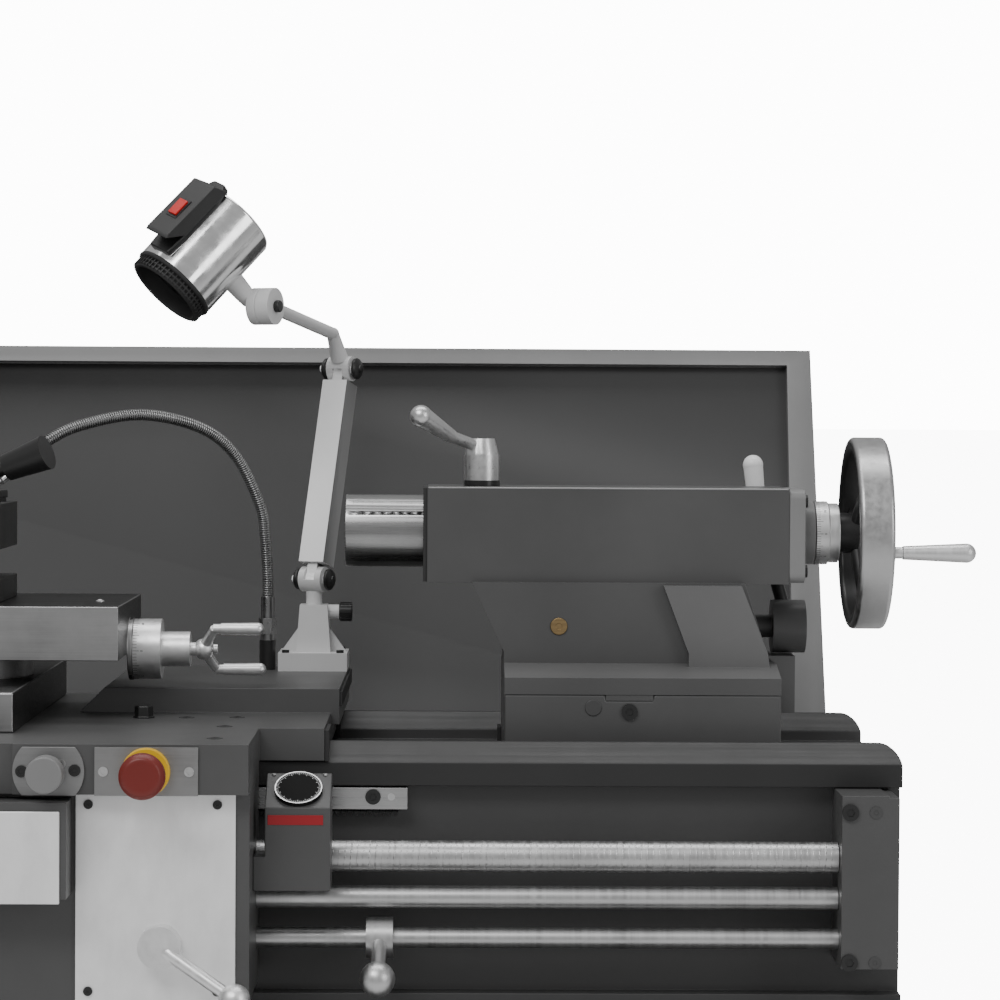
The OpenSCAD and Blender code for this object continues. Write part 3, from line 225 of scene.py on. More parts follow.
def build_orange_peel():
    """Sprayed enamel: fine peel, a slow drift of tone and pale rubbed specks."""
    tree, given, made = group(
        "sprayed_enamel",
        [("NodeSocketFloat", "Peel scale", 600.0), ("NodeSocketFloat", "Drift scale", 5.0),
         ("NodeSocketFloat", "Speck level", 0.7)],
        [("NodeSocketFloat", "Height"), ("NodeSocketFloat", "Drift"), ("NodeSocketFloat", "Specks")])
    place = tree.nodes.new("ShaderNodeTexCoord").outputs["Object"]
    peel = noise_node(tree, place, given.outputs["Peel scale"], 2.0, 0.5)
    drift = noise_node(tree, place, given.outputs["Drift scale"], 5.0, 0.55)
    fine = noise_node(tree, place, 240.0, 3.0, 0.7)
    patch = noise_node(tree, place, 22.0, 4.0, 0.6)
    over = math_node(tree, "SUBTRACT", math_node(tree, "ADD", fine, math_node(tree, "MULTIPLY", patch, 0.5)),
                     given.outputs["Speck level"])
    specks = spread(tree, over, 0.28, 0.36)
    tree.links.new(peel, made.inputs["Height"])
    tree.links.new(spread(tree, drift, 0.3, 0.7), made.inputs["Drift"])
    tree.links.new(specks, made.inputs["Specks"])
    return tree


def build_grinding():
    """Fine tool lines that run along one direction, with slow tarnish."""
    tree, given, made = group(
        "tool_lines",
        [("NodeSocketVector", "Stretch", (4.0, 900.0, 900.0)), ("NodeSocketFloat", "Tarnish scale", 18.0)],
        [("NodeSocketFloat", "Lines"), ("NodeSocketFloat", "Tarnish")])
    place = tree.nodes.new("ShaderNodeTexCoord").outputs["Object"]
    lines = noise_node(tree, stretched(tree, place, given.outputs["Stretch"]), 1.0, 3.0, 0.65)
    tarnish = noise_node(tree, place, given.outputs["Tarnish scale"], 6.0, 0.6)
    tree.links.new(spread(tree, lines, 0.3, 0.7), made.inputs["Lines"])
    tree.links.new(spread(tree, tarnish, 0.35, 0.7), made.inputs["Tarnish"])
    return tree


GROUPS = {"enamel": build_orange_peel(), "lines": build_grinding()}


# ---- materials
def shader(name, metallic=0.0, coat=0.0, specular=0.5):
    material = bpy.data.materials.new(name)
    material.use_nodes = True
    tree = material.node_tree
    surface = tree.nodes["Principled BSDF"]
    surface.inputs["Metallic"].default_value = metallic
    surface.inputs["Coat Weight"].default_value = coat
    surface.inputs["Specular IOR Level"].default_value = specular
    return material, tree, surface


def place_group(tree, key, **values):
    node = tree.nodes.new("ShaderNodeGroup")
    node.node_tree = GROUPS[key]
    for label, value in values.items():
        node.inputs[label.replace("_", " ")].default_value = value
    return node.outputs


def blend_colour(tree, mask, low, high):
    node = tree.nodes.new("ShaderNodeMix")
    node.data_type = "RGBA"
    for socket, value in ((node.inputs[6], low), (node.inputs[7], high)):
        if isinstance(value, tuple):
            socket.default_value = (*value, 1.0)
        else:
            tree.links.new(value, socket)
    tree.links.new(mask, node.inputs[0])
    return node.outputs[2]


def add_bump(tree, surface, height, depth, strength=0.5):
    node = tree.nodes.new("ShaderNodeBump")
    node.inputs["Distance"].default_value = depth
    node.inputs["Strength"].default_value = strength
    tree.links.new(height, node.inputs["Height"])
    tree.links.new(node.outputs["Normal"], surface.inputs["Normal"])


def enamel(name, tone, rough=0.4, peel=500.0, depth=0.00006, speck=0.78, speck_tone=1.9, drift=0.12,
           specular=0.4):
    """Sprayed machine enamel in one tone."""
    material, tree, surface = shader(name, coat=0.1, specular=specular)
    surface.inputs["Coat Roughness"].default_value = 0.3
    coat = place_group(tree, "enamel", Peel_scale=peel, Speck_level=speck)
    low = tuple(c * (1 - drift) for c in tone)
    high = tuple(c * (1 + drift) for c in tone)
    colour = blend_colour(tree, coat["Drift"], low, high)
    pale = tuple(min(1.0, c * speck_tone) for c in tone)
    tree.links.new(blend_colour(tree, coat["Specks"], colour, pale), surface.inputs["Base Color"])
    tree.links.new(spread(tree, coat["Drift"], 0.0, 1.0, rough - 0.06, rough + 0.08),
                   surface.inputs["Roughness"])
    add_bump(tree, surface, coat["Height"], depth)
    return material


def bare_metal(name, tone, rough=0.3, stretch=(4.0, 900.0, 900.0), depth=0.00002, tarnish=0.25, metallic=1.0):
    """Machined metal with tool lines along its short stretch."""
    material, tree, surface = shader(name, metallic=metallic)
    cut = place_group(tree, "lines", Stretch=stretch)
    low = tuple(c * (1 - tarnish) for c in tone)
    colour = blend_colour(tree, cut["Tarnish"], tone, low)
    bright = tuple(min(1.0, c * 1.12) for c in tone)
    lines = math_node(tree, "MULTIPLY", cut["Lines"], 0.5)
    tree.links.new(blend_colour(tree, lines, colour, bright), surface.inputs["Base Color"])
    tree.links.new(spread(tree, cut["Lines"], 0.0, 1.0, rough - 0.07, rough + 0.1),
                   surface.inputs["Roughness"])
    add_bump(tree, surface, cut["Lines"], depth, 0.4)
    return material


def moulded(name, tone, rough=0.45, depth=0.00003, specular=0.5):
    """Moulded plastic or blackened steel with a fine even grain."""
    material, tree, surface = shader(name, specular=specular)
    coat = place_group(tree, "enamel", Peel_scale=1400.0, Speck_level=0.86)
    low = tuple(c * 0.9 for c in tone)
    high = tuple(min(1.0, c * 1.15) for c in tone)
    colour = blend_colour(tree, coat["Drift"], low, high)
    pale = tuple(min(1.0, c * 1.3 + 0.01) for c in tone)
    tree.links.new(blend_colour(tree, coat["Specks"], colour, pale), surface.inputs["Base Color"])
    tree.links.new(spread(tree, coat["Drift"], 0.0, 1.0, rough - 0.05, rough + 0.08),
                   surface.inputs["Roughness"])
    add_bump(tree, surface, coat["Height"], depth)
    return material


def floor_paint():
    material, tree, surface = shader("pale_floor")
    coat = place_group(tree, "enamel", Peel_scale=60.0, Drift_scale=0.8)
    tree.links.new(blend_colour(tree, coat["Drift"], (0.84, 0.84, 0.84), (0.88, 0.88, 0.88)),
                   surface.inputs["Base Color"])
    surface.inputs["Roughness"].default_value = 0.7
    surface.inputs["Emission Color"].default_value = (1.0, 1.0, 1.0, 1.0)
    seen = tree.nodes.new("ShaderNodeLightPath").outputs["Is Camera Ray"]
    tree.links.new(math_node(tree, "MULTIPLY", seen, FLOOR_SEEN), surface.inputs["Emission Strength"])
    return material


def grey(value):
    return (value, value, value)


CAST_PAINT = enamel("cast_grey_enamel", grey(0.075), 0.42)
DEEP_PAINT = enamel("bed_grey_enamel", grey(0.06), 0.45)
GUARD_PAINT = enamel("guard_panel_enamel", grey(0.045), 0.55, peel=300.0, depth=0.00003, specular=0.3)
# The guard's lips are the same sheet as its panel; their lighter enamels are painted light, the end lip's
# also a painted edge highlight.
LIT_LIP_PAINT = enamel("guard_lip_enamel", grey(0.22), 0.45, peel=300.0, depth=0.00003)
LIT_END_LIP_PAINT = enamel("guard_end_lip_enamel", grey(0.46), 0.45, peel=300.0, depth=0.00003)
# A lighter copy of the cast enamel: painted light on the tailstock column's flank and on the bed clamp's hub.
PAINTED_LIGHT_ENAMEL = enamel("casting_flank_enamel", grey(0.125), 0.4)
# A dark copy of the arm's silver enamel: painted shade on the arm's side faces.
ARM_PAINTED_SHADE = enamel("arm_side_enamel", grey(0.2), 0.4, depth=0.00003)
LIGHT_PAINT = enamel("light_cabinet_enamel", grey(0.5), 0.4, peel=300.0)
SILVER_PAINT = enamel("silver_enamel", grey(0.68), 0.38, depth=0.00003, speck=0.85, speck_tone=1.3)
WHITE_PLATE = bare_metal("apron_plate", grey(0.9), 0.4, stretch=(60.0, 60.0, 20.0), tarnish=0.1, metallic=0.3)
CAST_WAY = bare_metal("ground_way", grey(0.06), 0.5, stretch=(3.0, 300.0, 300.0), metallic=0.5)
GROUND_X = bare_metal("ground_steel_lengthwise", grey(0.5), 0.3, stretch=(3.0, 700.0, 700.0))
GROUND_FACE = bare_metal("ground_steel_face", grey(0.42), 0.36, stretch=(8.0, 700.0, 700.0))
TURNED = bare_metal("turned_steel", grey(0.58), 0.38, stretch=(260.0, 6.0, 6.0), depth=0.000002)
SATIN = bare_metal("satin_steel", grey(0.66), 0.33, stretch=(260.0, 260.0, 260.0), depth=0.00001)
BRIGHT = bare_metal("bright_grip_steel", grey(0.85), 0.4, stretch=(120.0, 120.0, 120.0), depth=0.000006,
                    tarnish=0.12)
CHROME = bare_metal("polished_shell", grey(0.82), 0.14, stretch=(60.0, 60.0, 60.0), depth=0.000004,
                    tarnish=0.06)
BLACK = moulded("black_moulding", grey(0.012), 0.38)
BLACK_STEEL = moulded("blackened_steel", grey(0.016), 0.32)
RUBBER = moulded("black_rubber", grey(0.02), 0.6)
GREY_KNOB = moulded("grey_moulding", grey(0.2), 0.42)
RED = moulded("red_moulding", (0.16, 0.014, 0.009), 0.4)
SWITCH_RED = moulded("red_rocker", (0.6, 0.012, 0.008), 0.35)
YELLOW = moulded("yellow_moulding", (0.7, 0.42, 0.01), 0.4)
BRONZE = bare_metal("bronze_plug", (0.34, 0.24, 0.12), 0.4)
BELT = moulded("belt_rubber", grey(0.02), 0.65)
# A darker copy of the bed enamel: painted shade on the rails' vertical sides.
RAIL_PAINTED_SHADE = enamel("rail_side_enamel", grey(0.022), 0.5)
CAP_PAINT = enamel("end_cap_enamel", grey(0.21), 0.42)
ARM_PAINT = enamel("arm_silver_enamel", grey(0.95), 0.35, depth=0.00003, speck=0.85, speck_tone=1.2)
QUILL_STEEL = bare_metal("quill_steel", grey(0.36), 0.27, stretch=(8.0, 500.0, 500.0), depth=0.000008)
RIM_STEEL = bare_metal("rim_steel", grey(0.5), 0.36, stretch=(120.0, 120.0, 120.0), depth=0.000008,
                       tarnish=0.12)
DIAL_STEEL = bare_metal("dial_satin_chrome", grey(0.75), 0.42, stretch=(300.0, 60.0, 60.0), depth=0.000008,
                        tarnish=0.1)
HOSE_STEEL = bare_metal("hose_steel", grey(0.32), 0.28, stretch=(90.0, 90.0, 90.0), depth=0.000006)
PLATE_STEEL = bare_metal("brushed_plate", grey(0.3), 0.45, stretch=(12.0, 700.0, 700.0), depth=0.000008,
                         metallic=0.85)
DARK_STEEL = bare_metal("dark_ground_steel", grey(0.06), 0.34, stretch=(6.0, 500.0, 500.0), metallic=0.9)
TURRET_STEEL = moulded("turret_black_steel", grey(0.02), 0.34)
HOUSING = moulded("switch_housing_black", grey(0.03), 0.5)
LENS = moulded("dark_lens", grey(0.008), 0.12)
MARK_INK = moulded("black_mark", grey(0.004), 0.6, specular=0.2)
DIAL_BLACK = moulded("dial_face_black", grey(0.006), 0.7, specular=0.15)
WHITE_INK = moulded("white_mark", grey(0.7), 0.5)
RED_PLATE = moulded("red_label", (0.32, 0.006, 0.012), 0.4)

# ---- geometry trees
class Tree:
    """A geometry node tree with named sizes that ends in its finish."""

    def __init__(self, name, sizes):
        self.tree = bpy.data.node_groups.new(name, "GeometryNodeTree")
        face = self.tree.interface
        face.new_socket("Geometry", in_out="INPUT", socket_type="NodeSocketGeometry")
        for label, value in sizes.items():
            kind = "NodeSocketInt" if isinstance(value, int) else "NodeSocketFloat"
            face.new_socket(label, in_out="INPUT", socket_type=kind).default_value = value
        face.new_socket("Finish", in_out="INPUT", socket_type="NodeSocketMaterial")
        face.new_socket("Geometry", in_out="OUTPUT", socket_type="NodeSocketGeometry")
        self.given = self.tree.nodes.new("NodeGroupInput").outputs

    def add(self, kind, settings=None, **feeds):
        prefix = "" if kind.startswith(("Shader", "Function")) else "GeometryNode"
        node = self.tree.nodes.new(prefix + kind)
        for key, value in (settings or {}).items():
            setattr(node, key, value)
        for key, value in feeds.items():
            socket = node.inputs[key.replace("_", " ")]
            if isinstance(value, bpy.types.NodeSocket):
                self.tree.links.new(value, socket)
            else:
                socket.default_value = value
        return node.outputs[0]

    def vector(self, x=0.0, y=0.0, z=0.0):
        return self.add("ShaderNodeCombineXYZ", X=x, Y=y, Z=z)

    def end(self, geometry):
        real = self.add("RealizeInstances", Geometry=geometry)
        done = self.add("SetMaterial", Geometry=real, Material=self.given["Finish"])
        self.tree.links.new(done, self.tree.nodes.new("NodeGroupOutput").inputs[0])
        return self.tree


def build_ring_tree():
    """Blocks round a circle about +Z, such as dial marks, grip ribs and folds."""
    t = Tree("marks_round_a_circle", {"Count": 60, "Radius": 0.03, "Across": 0.0005, "Out": 0.0006,
                                      "Along": 0.004})
    ring = t.add("MeshCircle", Vertices=t.given["Count"], Radius=t.given["Radius"])
    block = t.add("MeshCube", Size=t.vector(t.given["Out"], t.given["Across"], t.given["Along"]))
    turn = t.add("FunctionNodeAlignRotationToVector", {"axis": "X", "pivot_axis": "Z"},
                 Vector=t.add("InputPosition"))
    return t.end(t.add("InstanceOnPoints", Points=ring, Instance=block, Rotation=turn))


def build_row_tree():
    """Blocks in a row along +X, such as scale marks and slots."""
    t = Tree("marks_in_a_row", {"Count": 10, "Pitch": 0.001, "Wide": 0.0004, "Deep": 0.001, "Tall": 0.004})
    line = t.add("MeshLine", Count=t.given["Count"], Offset=t.vector(t.given["Pitch"]))
    block = t.add("MeshCube", Size=t.vector(t.given["Wide"], t.given["Deep"], t.given["Tall"]))
    return t.end(t.add("InstanceOnPoints", Points=line, Instance=block))


def build_tooth_tree():
    """Rack teeth along +X that point down, each a tapered block."""
    t = Tree("rack_teeth", {"Count": 100, "Pitch": 0.006, "Radius": 0.003, "Face": 0.016, "Tall": 0.005})
    line = t.add("MeshLine", Count=t.given["Count"], Offset=t.vector(t.given["Pitch"]))
    tooth = t.add("MeshCone", Vertices=4, Radius_Top=0.0011, Radius_Bottom=t.given["Radius"],
                  Depth=t.given["Tall"])
    square = t.add("Transform", Geometry=tooth, Rotation=(math.pi, 0.0, math.pi / 4))
    shaped = t.add("Transform", Geometry=square, Scale=t.vector(1.0, t.given["Face"], 1.0))
    return t.end(t.add("InstanceOnPoints", Points=line, Instance=shaped))


def build_screw_tree():
    """Cap screws on the base mesh's points, each with a sunk drive, turned to its facing."""
    t = Tree("cap_screws", {"Head radius": 0.008, "Head height": 0.004, "Drive radius": 0.004,
                            "Drive depth": 0.003, "Drive sides": 6})
    head = t.add("MeshCylinder", Vertices=28, Radius=t.given["Head radius"], Depth=t.given["Head height"])
    drive = t.add("MeshCylinder", Vertices=t.given["Drive sides"], Radius=t.given["Drive radius"],
                  Depth=t.given["Drive depth"])
    half = t.add("ShaderNodeMath", {"operation": "MULTIPLY"}, Value=t.given["Head height"])
    half.node.inputs[1].default_value = 0.5
    top = t.add("Transform", Geometry=drive, Translation=t.vector(z=half))
    cut = t.tree.nodes.new("GeometryNodeMeshBoolean")
    cut.operation = "DIFFERENCE"
    t.tree.links.new(head, cut.inputs[0])
    t.tree.links.new(top, cut.inputs[1])
    facing = t.add("InputNamedAttribute", {"data_type": "FLOAT_VECTOR"}, Name="facing")
    turn = t.add("FunctionNodeAlignRotationToVector", {"axis": "Z"}, Vector=facing)
    return t.end(t.add("InstanceOnPoints", Points=t.given["Geometry"], Instance=cut.outputs[0],
                       Rotation=turn))


def build_hose_tree():
    """A tube along the base mesh's path with a bead at each pitch."""
    t = Tree("beaded_hose", {"Pitch": 0.0022, "Radius": 0.006, "Bead": 0.0008})
    path = t.add("MeshToCurve", Mesh=t.given["Geometry"])
    even = t.add("ResampleCurve", {"mode": "LENGTH"}, Curve=path, Length=t.given["Pitch"])
    inner = t.add("ShaderNodeMath", {"operation": "SUBTRACT"}, Value=t.given["Radius"])
    t.tree.links.new(t.given["Bead"], inner.node.inputs[1])
    circle = t.add("CurvePrimitiveCircle", Resolution=14, Radius=inner)
    core = t.add("CurveToMesh", Curve=even, Profile_Curve=circle, Fill_Caps=True)
    bead = t.add("CurveToMesh", Curve=circle,
                 Profile_Curve=t.add("CurvePrimitiveCircle", Resolution=5, Radius=t.given["Bead"]))
    turn = t.add("FunctionNodeAlignRotationToVector", {"axis": "Z"}, Vector=t.add("InputTangent"))
    beads = t.add("InstanceOnPoints", Points=even, Instance=bead, Rotation=turn)
    join = t.tree.nodes.new("GeometryNodeJoinGeometry")
    t.tree.links.new(beads, join.inputs[0])
    t.tree.links.new(core, join.inputs[0])
    return t.end(join.outputs[0])


def build_thread_tree():
    """A square-ish thread wound round +Z from the origin."""
    t = Tree("thread", {"Length": 1.5, "Turns": 250.0, "Radius": 0.014, "Ridge": 0.0016})
    coil = t.add("CurveSpiral", Resolution=14, Rotations=t.given["Turns"], Start_Radius=t.given["Radius"],
                 End_Radius=t.given["Radius"], Height=t.given["Length"])
    ridge = t.add("CurvePrimitiveCircle", Resolution=4, Radius=t.given["Ridge"])
    return t.end(t.add("CurveToMesh", Curve=coil, Profile_Curve=ridge, Fill_Caps=True))


TREES = {"ring": build_ring_tree(), "row": build_row_tree(), "teeth": build_tooth_tree(),
         "screws": build_screw_tree(), "hose": build_hose_tree(), "thread": build_thread_tree()}


def grow(name, key, finish, place=None, base=None, **sizes):
    """Runs a tree and leaves its result as a plain mesh, moved to its place."""
    piece = base or mesh_object(name, bmesh.new())
    piece.name = name
    tree = TREES[key]
    rule = piece.modifiers.new("rule", "NODES")
    rule.node_group = tree
    sizes["Finish"] = finish
    for item in tree.interface.items_tree:
        label = item.name.replace(" ", "_")
        if item.in_out == "INPUT" and label in sizes:
            rule[item.identifier] = sizes[label]
    settle(piece)
    if place is not None:
        piece.data.transform(place)
    return piece


def points_mesh(name, places, facing):
    bm = bmesh.new()
    for place in places:
        bm.verts.new(place)
    piece = mesh_object(name, bm)
    attribute = piece.data.attributes.new("facing", "FLOAT_VECTOR", "POINT")
    for item in attribute.data:
        item.vector = facing
    return piece


def screws(name, body, finish, places, facing, head, height, drive, sides=6):
    """Screws at places in the row frame, sizes in millimetres."""
    base = points_mesh(name, places, facing)
    piece = grow(name, "screws", finish, base=base, Head_radius=head * MM, Head_height=height * MM,
                 Drive_radius=drive * MM, Drive_depth=height * MM, Drive_sides=sides)
    return attach(piece, body)


def attach(piece, body):
    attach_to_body(piece, body)
    return piece


# ---- shapes
def facing_matrix(place, direction, up=None):
    """+Z along direction and +Y as near up as it goes, at a place."""
    z = Vector(direction).normalized()
    guide = Vector(up) if up else (Vector((0, 0, 1)) if abs(z.z) < 0.9 else Vector((0, 1, 0)))
    x = guide.cross(z).normalized()
    y = z.cross(x)
    return Matrix.Translation(place) @ Matrix((x, y, z)).transposed().to_4x4()


def turned(name, profile, place, steps=48):
    """A closed turned piece: (radius, height) in millimetres about +Z of the place."""
    bm = bmesh.new()
    rings = []
    for radius, height in profile:
        if radius < 0.001:
            rings.append([bm.verts.new((0, 0, height * MM))])
        else:
            rings.append([bm.verts.new((radius * MM * math.cos(TAU * k / steps),
                                        radius * MM * math.sin(TAU * k / steps), height * MM))
                          for k in range(steps)])
    for low, high in zip(rings, rings[1:]):
        for k in range(steps):
            n = (k + 1) % steps
            if len(low) == 1:
                bm.faces.new((low[0], high[n], high[k]))
            elif len(high) == 1:
                bm.faces.new((low[k], low[n], high[0]))
            else:
                bm.faces.new((low[k], low[n], high[n], high[k]))
    if profile[0] == profile[-1]:
        bmesh.ops.remove_doubles(bm, verts=bm.verts, dist=0.000001)
    else:
        for ring, flip in ((rings[0], True), (rings[-1], False)):
            if len(ring) > 1:
                bm.faces.new(ring[::-1] if flip else ring)
    bmesh.ops.recalc_face_normals(bm, faces=bm.faces)
    bmesh.ops.transform(bm, matrix=place, verts=bm.verts)
    return mesh_object(name, bm)


def slab(name, outline, depth, place, hole=None):
    """A plate: an outline in millimetres, pulled depth along +Z of the place."""
    bm = bmesh.new()
    low = [bm.verts.new((x * MM, y * MM, 0)) for x, y in outline]
    high = [bm.verts.new((x * MM, y * MM, depth * MM)) for x, y in outline]
    bm.faces.new(low[::-1])
    bm.faces.new(high)
    for k in range(len(low)):
        n = (k + 1) % len(low)
        bm.faces.new((low[k], low[n], high[n], high[k]))
    bmesh.ops.recalc_face_normals(bm, faces=bm.faces)
    piece = mesh_object(name, bm)
    if hole:
        x, y, radius = hole
        cutter = turned("cutter", [(radius, -depth), (radius, 3 * depth)],
                        Matrix.Translation((x * MM, y * MM, 0)), 64)
        cut = piece.modifiers.new("cut", "BOOLEAN")
        cut.object = cutter
        settle(piece)
        bpy.data.objects.remove(cutter)
    piece.data.transform(place)
    return piece


def box_piece(name, lo, hi, edge=0.8):
    """A block between two corners in millimetres about the axis, its edges rounded."""
    place = Matrix.Translation(at(lo[0], lo[1], lo[2]))
    wide, deep, tall = (hi[k] - lo[k] for k in range(3))
    return soften(slab(name, [(0, 0), (wide, 0), (wide, deep), (0, deep)], tall, place), edge)


def paint_where(piece, finishes, rule):
    """Gives each face the finish that the rule picks from its middle and its normal."""
    piece.data.materials.clear()
    for finish in finishes:
        piece.data.materials.append(finish)
    for face in piece.data.polygons:
        face.material_index = rule(face.center / MM - Vector((0, 0, AXIS / MM)), face.normal)


def add_part(piece, body, slot, finish, edge=0.5, *nodes):
    if edge:
        soften(piece, edge)
    return dress(piece, body, slot, finish, *nodes)


def number(name, words, size, place, finish, depth):
    """A generic number as a thin solid."""
    curve = bpy.data.curves.new(name, "FONT")
    curve.body = words
    curve.size = size * MM
    curve.extrude = depth * MM
    curve.align_x = "CENTER"
    curve.align_y = "CENTER"
    curve.resolution_u = 2
    piece = bpy.data.objects.new(name, curve)
    bpy.context.scene.collection.objects.link(piece)
    bpy.context.view_layer.update()
    mesh = bpy.data.meshes.new_from_object(piece.evaluated_get(bpy.context.evaluated_depsgraph_get()))
    bpy.data.objects.remove(piece)
    solid = bpy.data.objects.new(name, mesh)
    bpy.context.scene.collection.objects.link(solid)
    mesh.materials.clear()
    mesh.materials.append(finish)
    mesh.transform(place)
    return solid

# ---- places taken from the record
JOINT_AT = {joint["name"]: Vector(joint["pos_m"]) for joint in frame["record"]["behaviour"]["joints"]
            if joint.get("pos_m")}


def turn_frame(direction_degrees):
    angle = math.radians(direction_degrees)
    return Vector((math.cos(angle), -math.sin(angle), 0)), Vector((math.sin(angle), math.cos(angle), 0))


PIN, LEAN = turn_frame(24)
PIVOT_LOW = JOINT_AT["lamp_lower_tilt"]
PIVOT_HIGH = JOINT_AT["lamp_upper_tilt"]
KNUCKLE = JOINT_AT["lamp_head_tilt"]
HEAD_MID = KNUCKLE + Vector((-61, -16, 60)) * MM
HEAD_AIM = Vector((-0.63, -0.29, -0.72)).normalized()
SWITCH_UP = HEAD_AIM.cross(Vector((-0.36, -0.72, 0.6)).cross(HEAD_AIM)).normalized()
HEAD_PLACE = facing_matrix(HEAD_MID, HEAD_AIM, SWITCH_UP)


# ---- bed, guard and stand
def make_bed():
    bed = soften(cad_copy("bed", "bed_casting"), 1.2)
    dress(bed, "frame", "machine_grey", DEEP_PAINT, "bed")

    def pick(middle, normal):
        if middle.z > -236 and normal.z > 0.5:
            return 1
        # Vertical sides of the rails take painted shade.
        if abs(middle.y) > 184 and middle.z > -246 and abs(normal.z) < 0.4:
            return 2
        return 0
    paint_where(bed, (DEEP_PAINT, CAST_WAY, RAIL_PAINTED_SHADE), pick)


def make_guard():
    guard = soften(cad_copy("splash_guard", "guard_sheet"), 0.6)
    dress(guard, "frame", "guard_grey", GUARD_PAINT, "splash_guard")
    lean = math.radians(14.3)
    out = Vector((0, -math.cos(lean), math.sin(lean)))
    bend = Vector((0, 300, -260))
    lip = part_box("splash_guard")[1].x / MM - 27

    # Lips take lighter enamel than the panel as painted light, the end lip lighter still.
    def pick(middle, normal):
        if (middle - bend).dot(out) <= 3.6 or middle.z <= -258:
            return 0
        return 2 if middle.x > lip else 1
    paint_where(guard, (GUARD_PAINT, LIT_LIP_PAINT, LIT_END_LIP_PAINT), pick)


def make_stand():
    for node, x0, x1 in (("headstock_pedestal", -1072, -552), ("tailstock_pedestal", 692, 1072)):
        add_part(cad_copy(node, node + "_sheet"), "frame", "light_enamel", LIGHT_PAINT, 3, node)
        gap = 34
        door = box_piece(node + "_door", (x0 + gap, -222.5, 60 - 1150), (x1 - gap, -220, 540 - 1150), 1.2)
        dress(door, "frame", "light_enamel", LIGHT_PAINT)
        spots = [Vector(((x0 + gap + 16 if k % 2 else x1 - gap - 16) * MM, -0.2225,
                         (84 if k < 2 else 516) * MM))
                 for k in range(4)]
        screws(node + "_door_screws", "frame", BLACK_STEEL, spots, (0, -1, 0), 7, 4, 3.4)


def make_rack():
    lo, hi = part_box("rack")
    pitch = 6.283
    tooth = 4.6
    low = (lo.z - AXIS) / MM
    bar = box_piece("rack_bar", (lo.x / MM, lo.y / MM, low + tooth - 0.3),
                    (hi.x / MM, hi.y / MM, (hi.z - AXIS) / MM), 0.6)
    dress(bar, "frame", "ground_steel", GROUND_X, "rack")
    count = int((hi.x - lo.x) / MM / pitch) - 1
    face = (hi.y - lo.y) / MM / 6.0
    teeth = grow("rack_teeth", "teeth", GROUND_X,
                 Matrix.Translation((lo.x + pitch * MM * 0.8, (lo.y + hi.y) / 2, lo.z + tooth / 2 * MM)),
                 Count=count, Pitch=pitch * MM, Radius=0.0042, Face=face, Tall=tooth * MM)
    attach(teeth, "frame")
    spots = [at(x, lo.y / MM - 1.4, -256) for x in range(549, -540, -136)]
    screws("rack_screws", "frame", BLACK_STEEL, spots, (0, -1, 0), 7.6, 3, 4)
    pins = [at(x + 18, lo.y / MM - 0.6, -256) for x in range(549, -540, -272)]
    screws("rack_pins", "frame", SATIN, pins, (0, -1, 0), 3.6, 1.4, 1.6, 12)


def make_bracket():
    lo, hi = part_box("leadscrew_bracket")
    add_part(cad_copy("leadscrew_bracket", "bracket_casting"), "frame", "machine_grey", CAST_PAINT, 2.5,
             "leadscrew_bracket")
    front = lo.y / MM
    screws("bracket_screws", "frame", BLACK_STEEL,
           [at(1013, front - 1.5, -262), at(1013, front - 1.5, -408)], (0, -1, 0), 8.2, 3.4, 4.4)
    screws("bracket_pins", "frame", DEEP_PAINT,
           [at(1038, front - 0.4, -262), at(1038, front - 0.4, -408)], (0, -1, 0), 6, 1, 2.4, 12)


def make_leadscrew():
    lo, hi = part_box("leadscrew")
    core = cad_copy("leadscrew", "leadscrew_core")
    start, end = -0.53, 1.0
    add_part(core, "lead_screw", "ground_steel", TURNED, 0.6, "leadscrew")
    middle_y, middle_z = (lo.y + hi.y) / 2, (lo.z + hi.z) / 2
    pitch = 6.0 * MM
    run = end - start
    thread = grow("leadscrew_thread", "thread", TURNED,
                  facing_matrix((start, middle_y, middle_z), (1, 0, 0)),
                  Length=run, Turns=run / pitch, Radius=0.0146, Ridge=0.001)
    attach(thread, "lead_screw")


# ---- tailstock
def on_flank(middle, normal):
    """Tells the sloped flank at the wheel end of the tailstock's column from the rest; the flank takes a
    lighter enamel as painted light.
    """
    flank_x, column_low, column_top = 875, -150, -50
    return 1 if column_low < middle.z < column_top and middle.x > flank_x and normal.y < -0.2 else 0


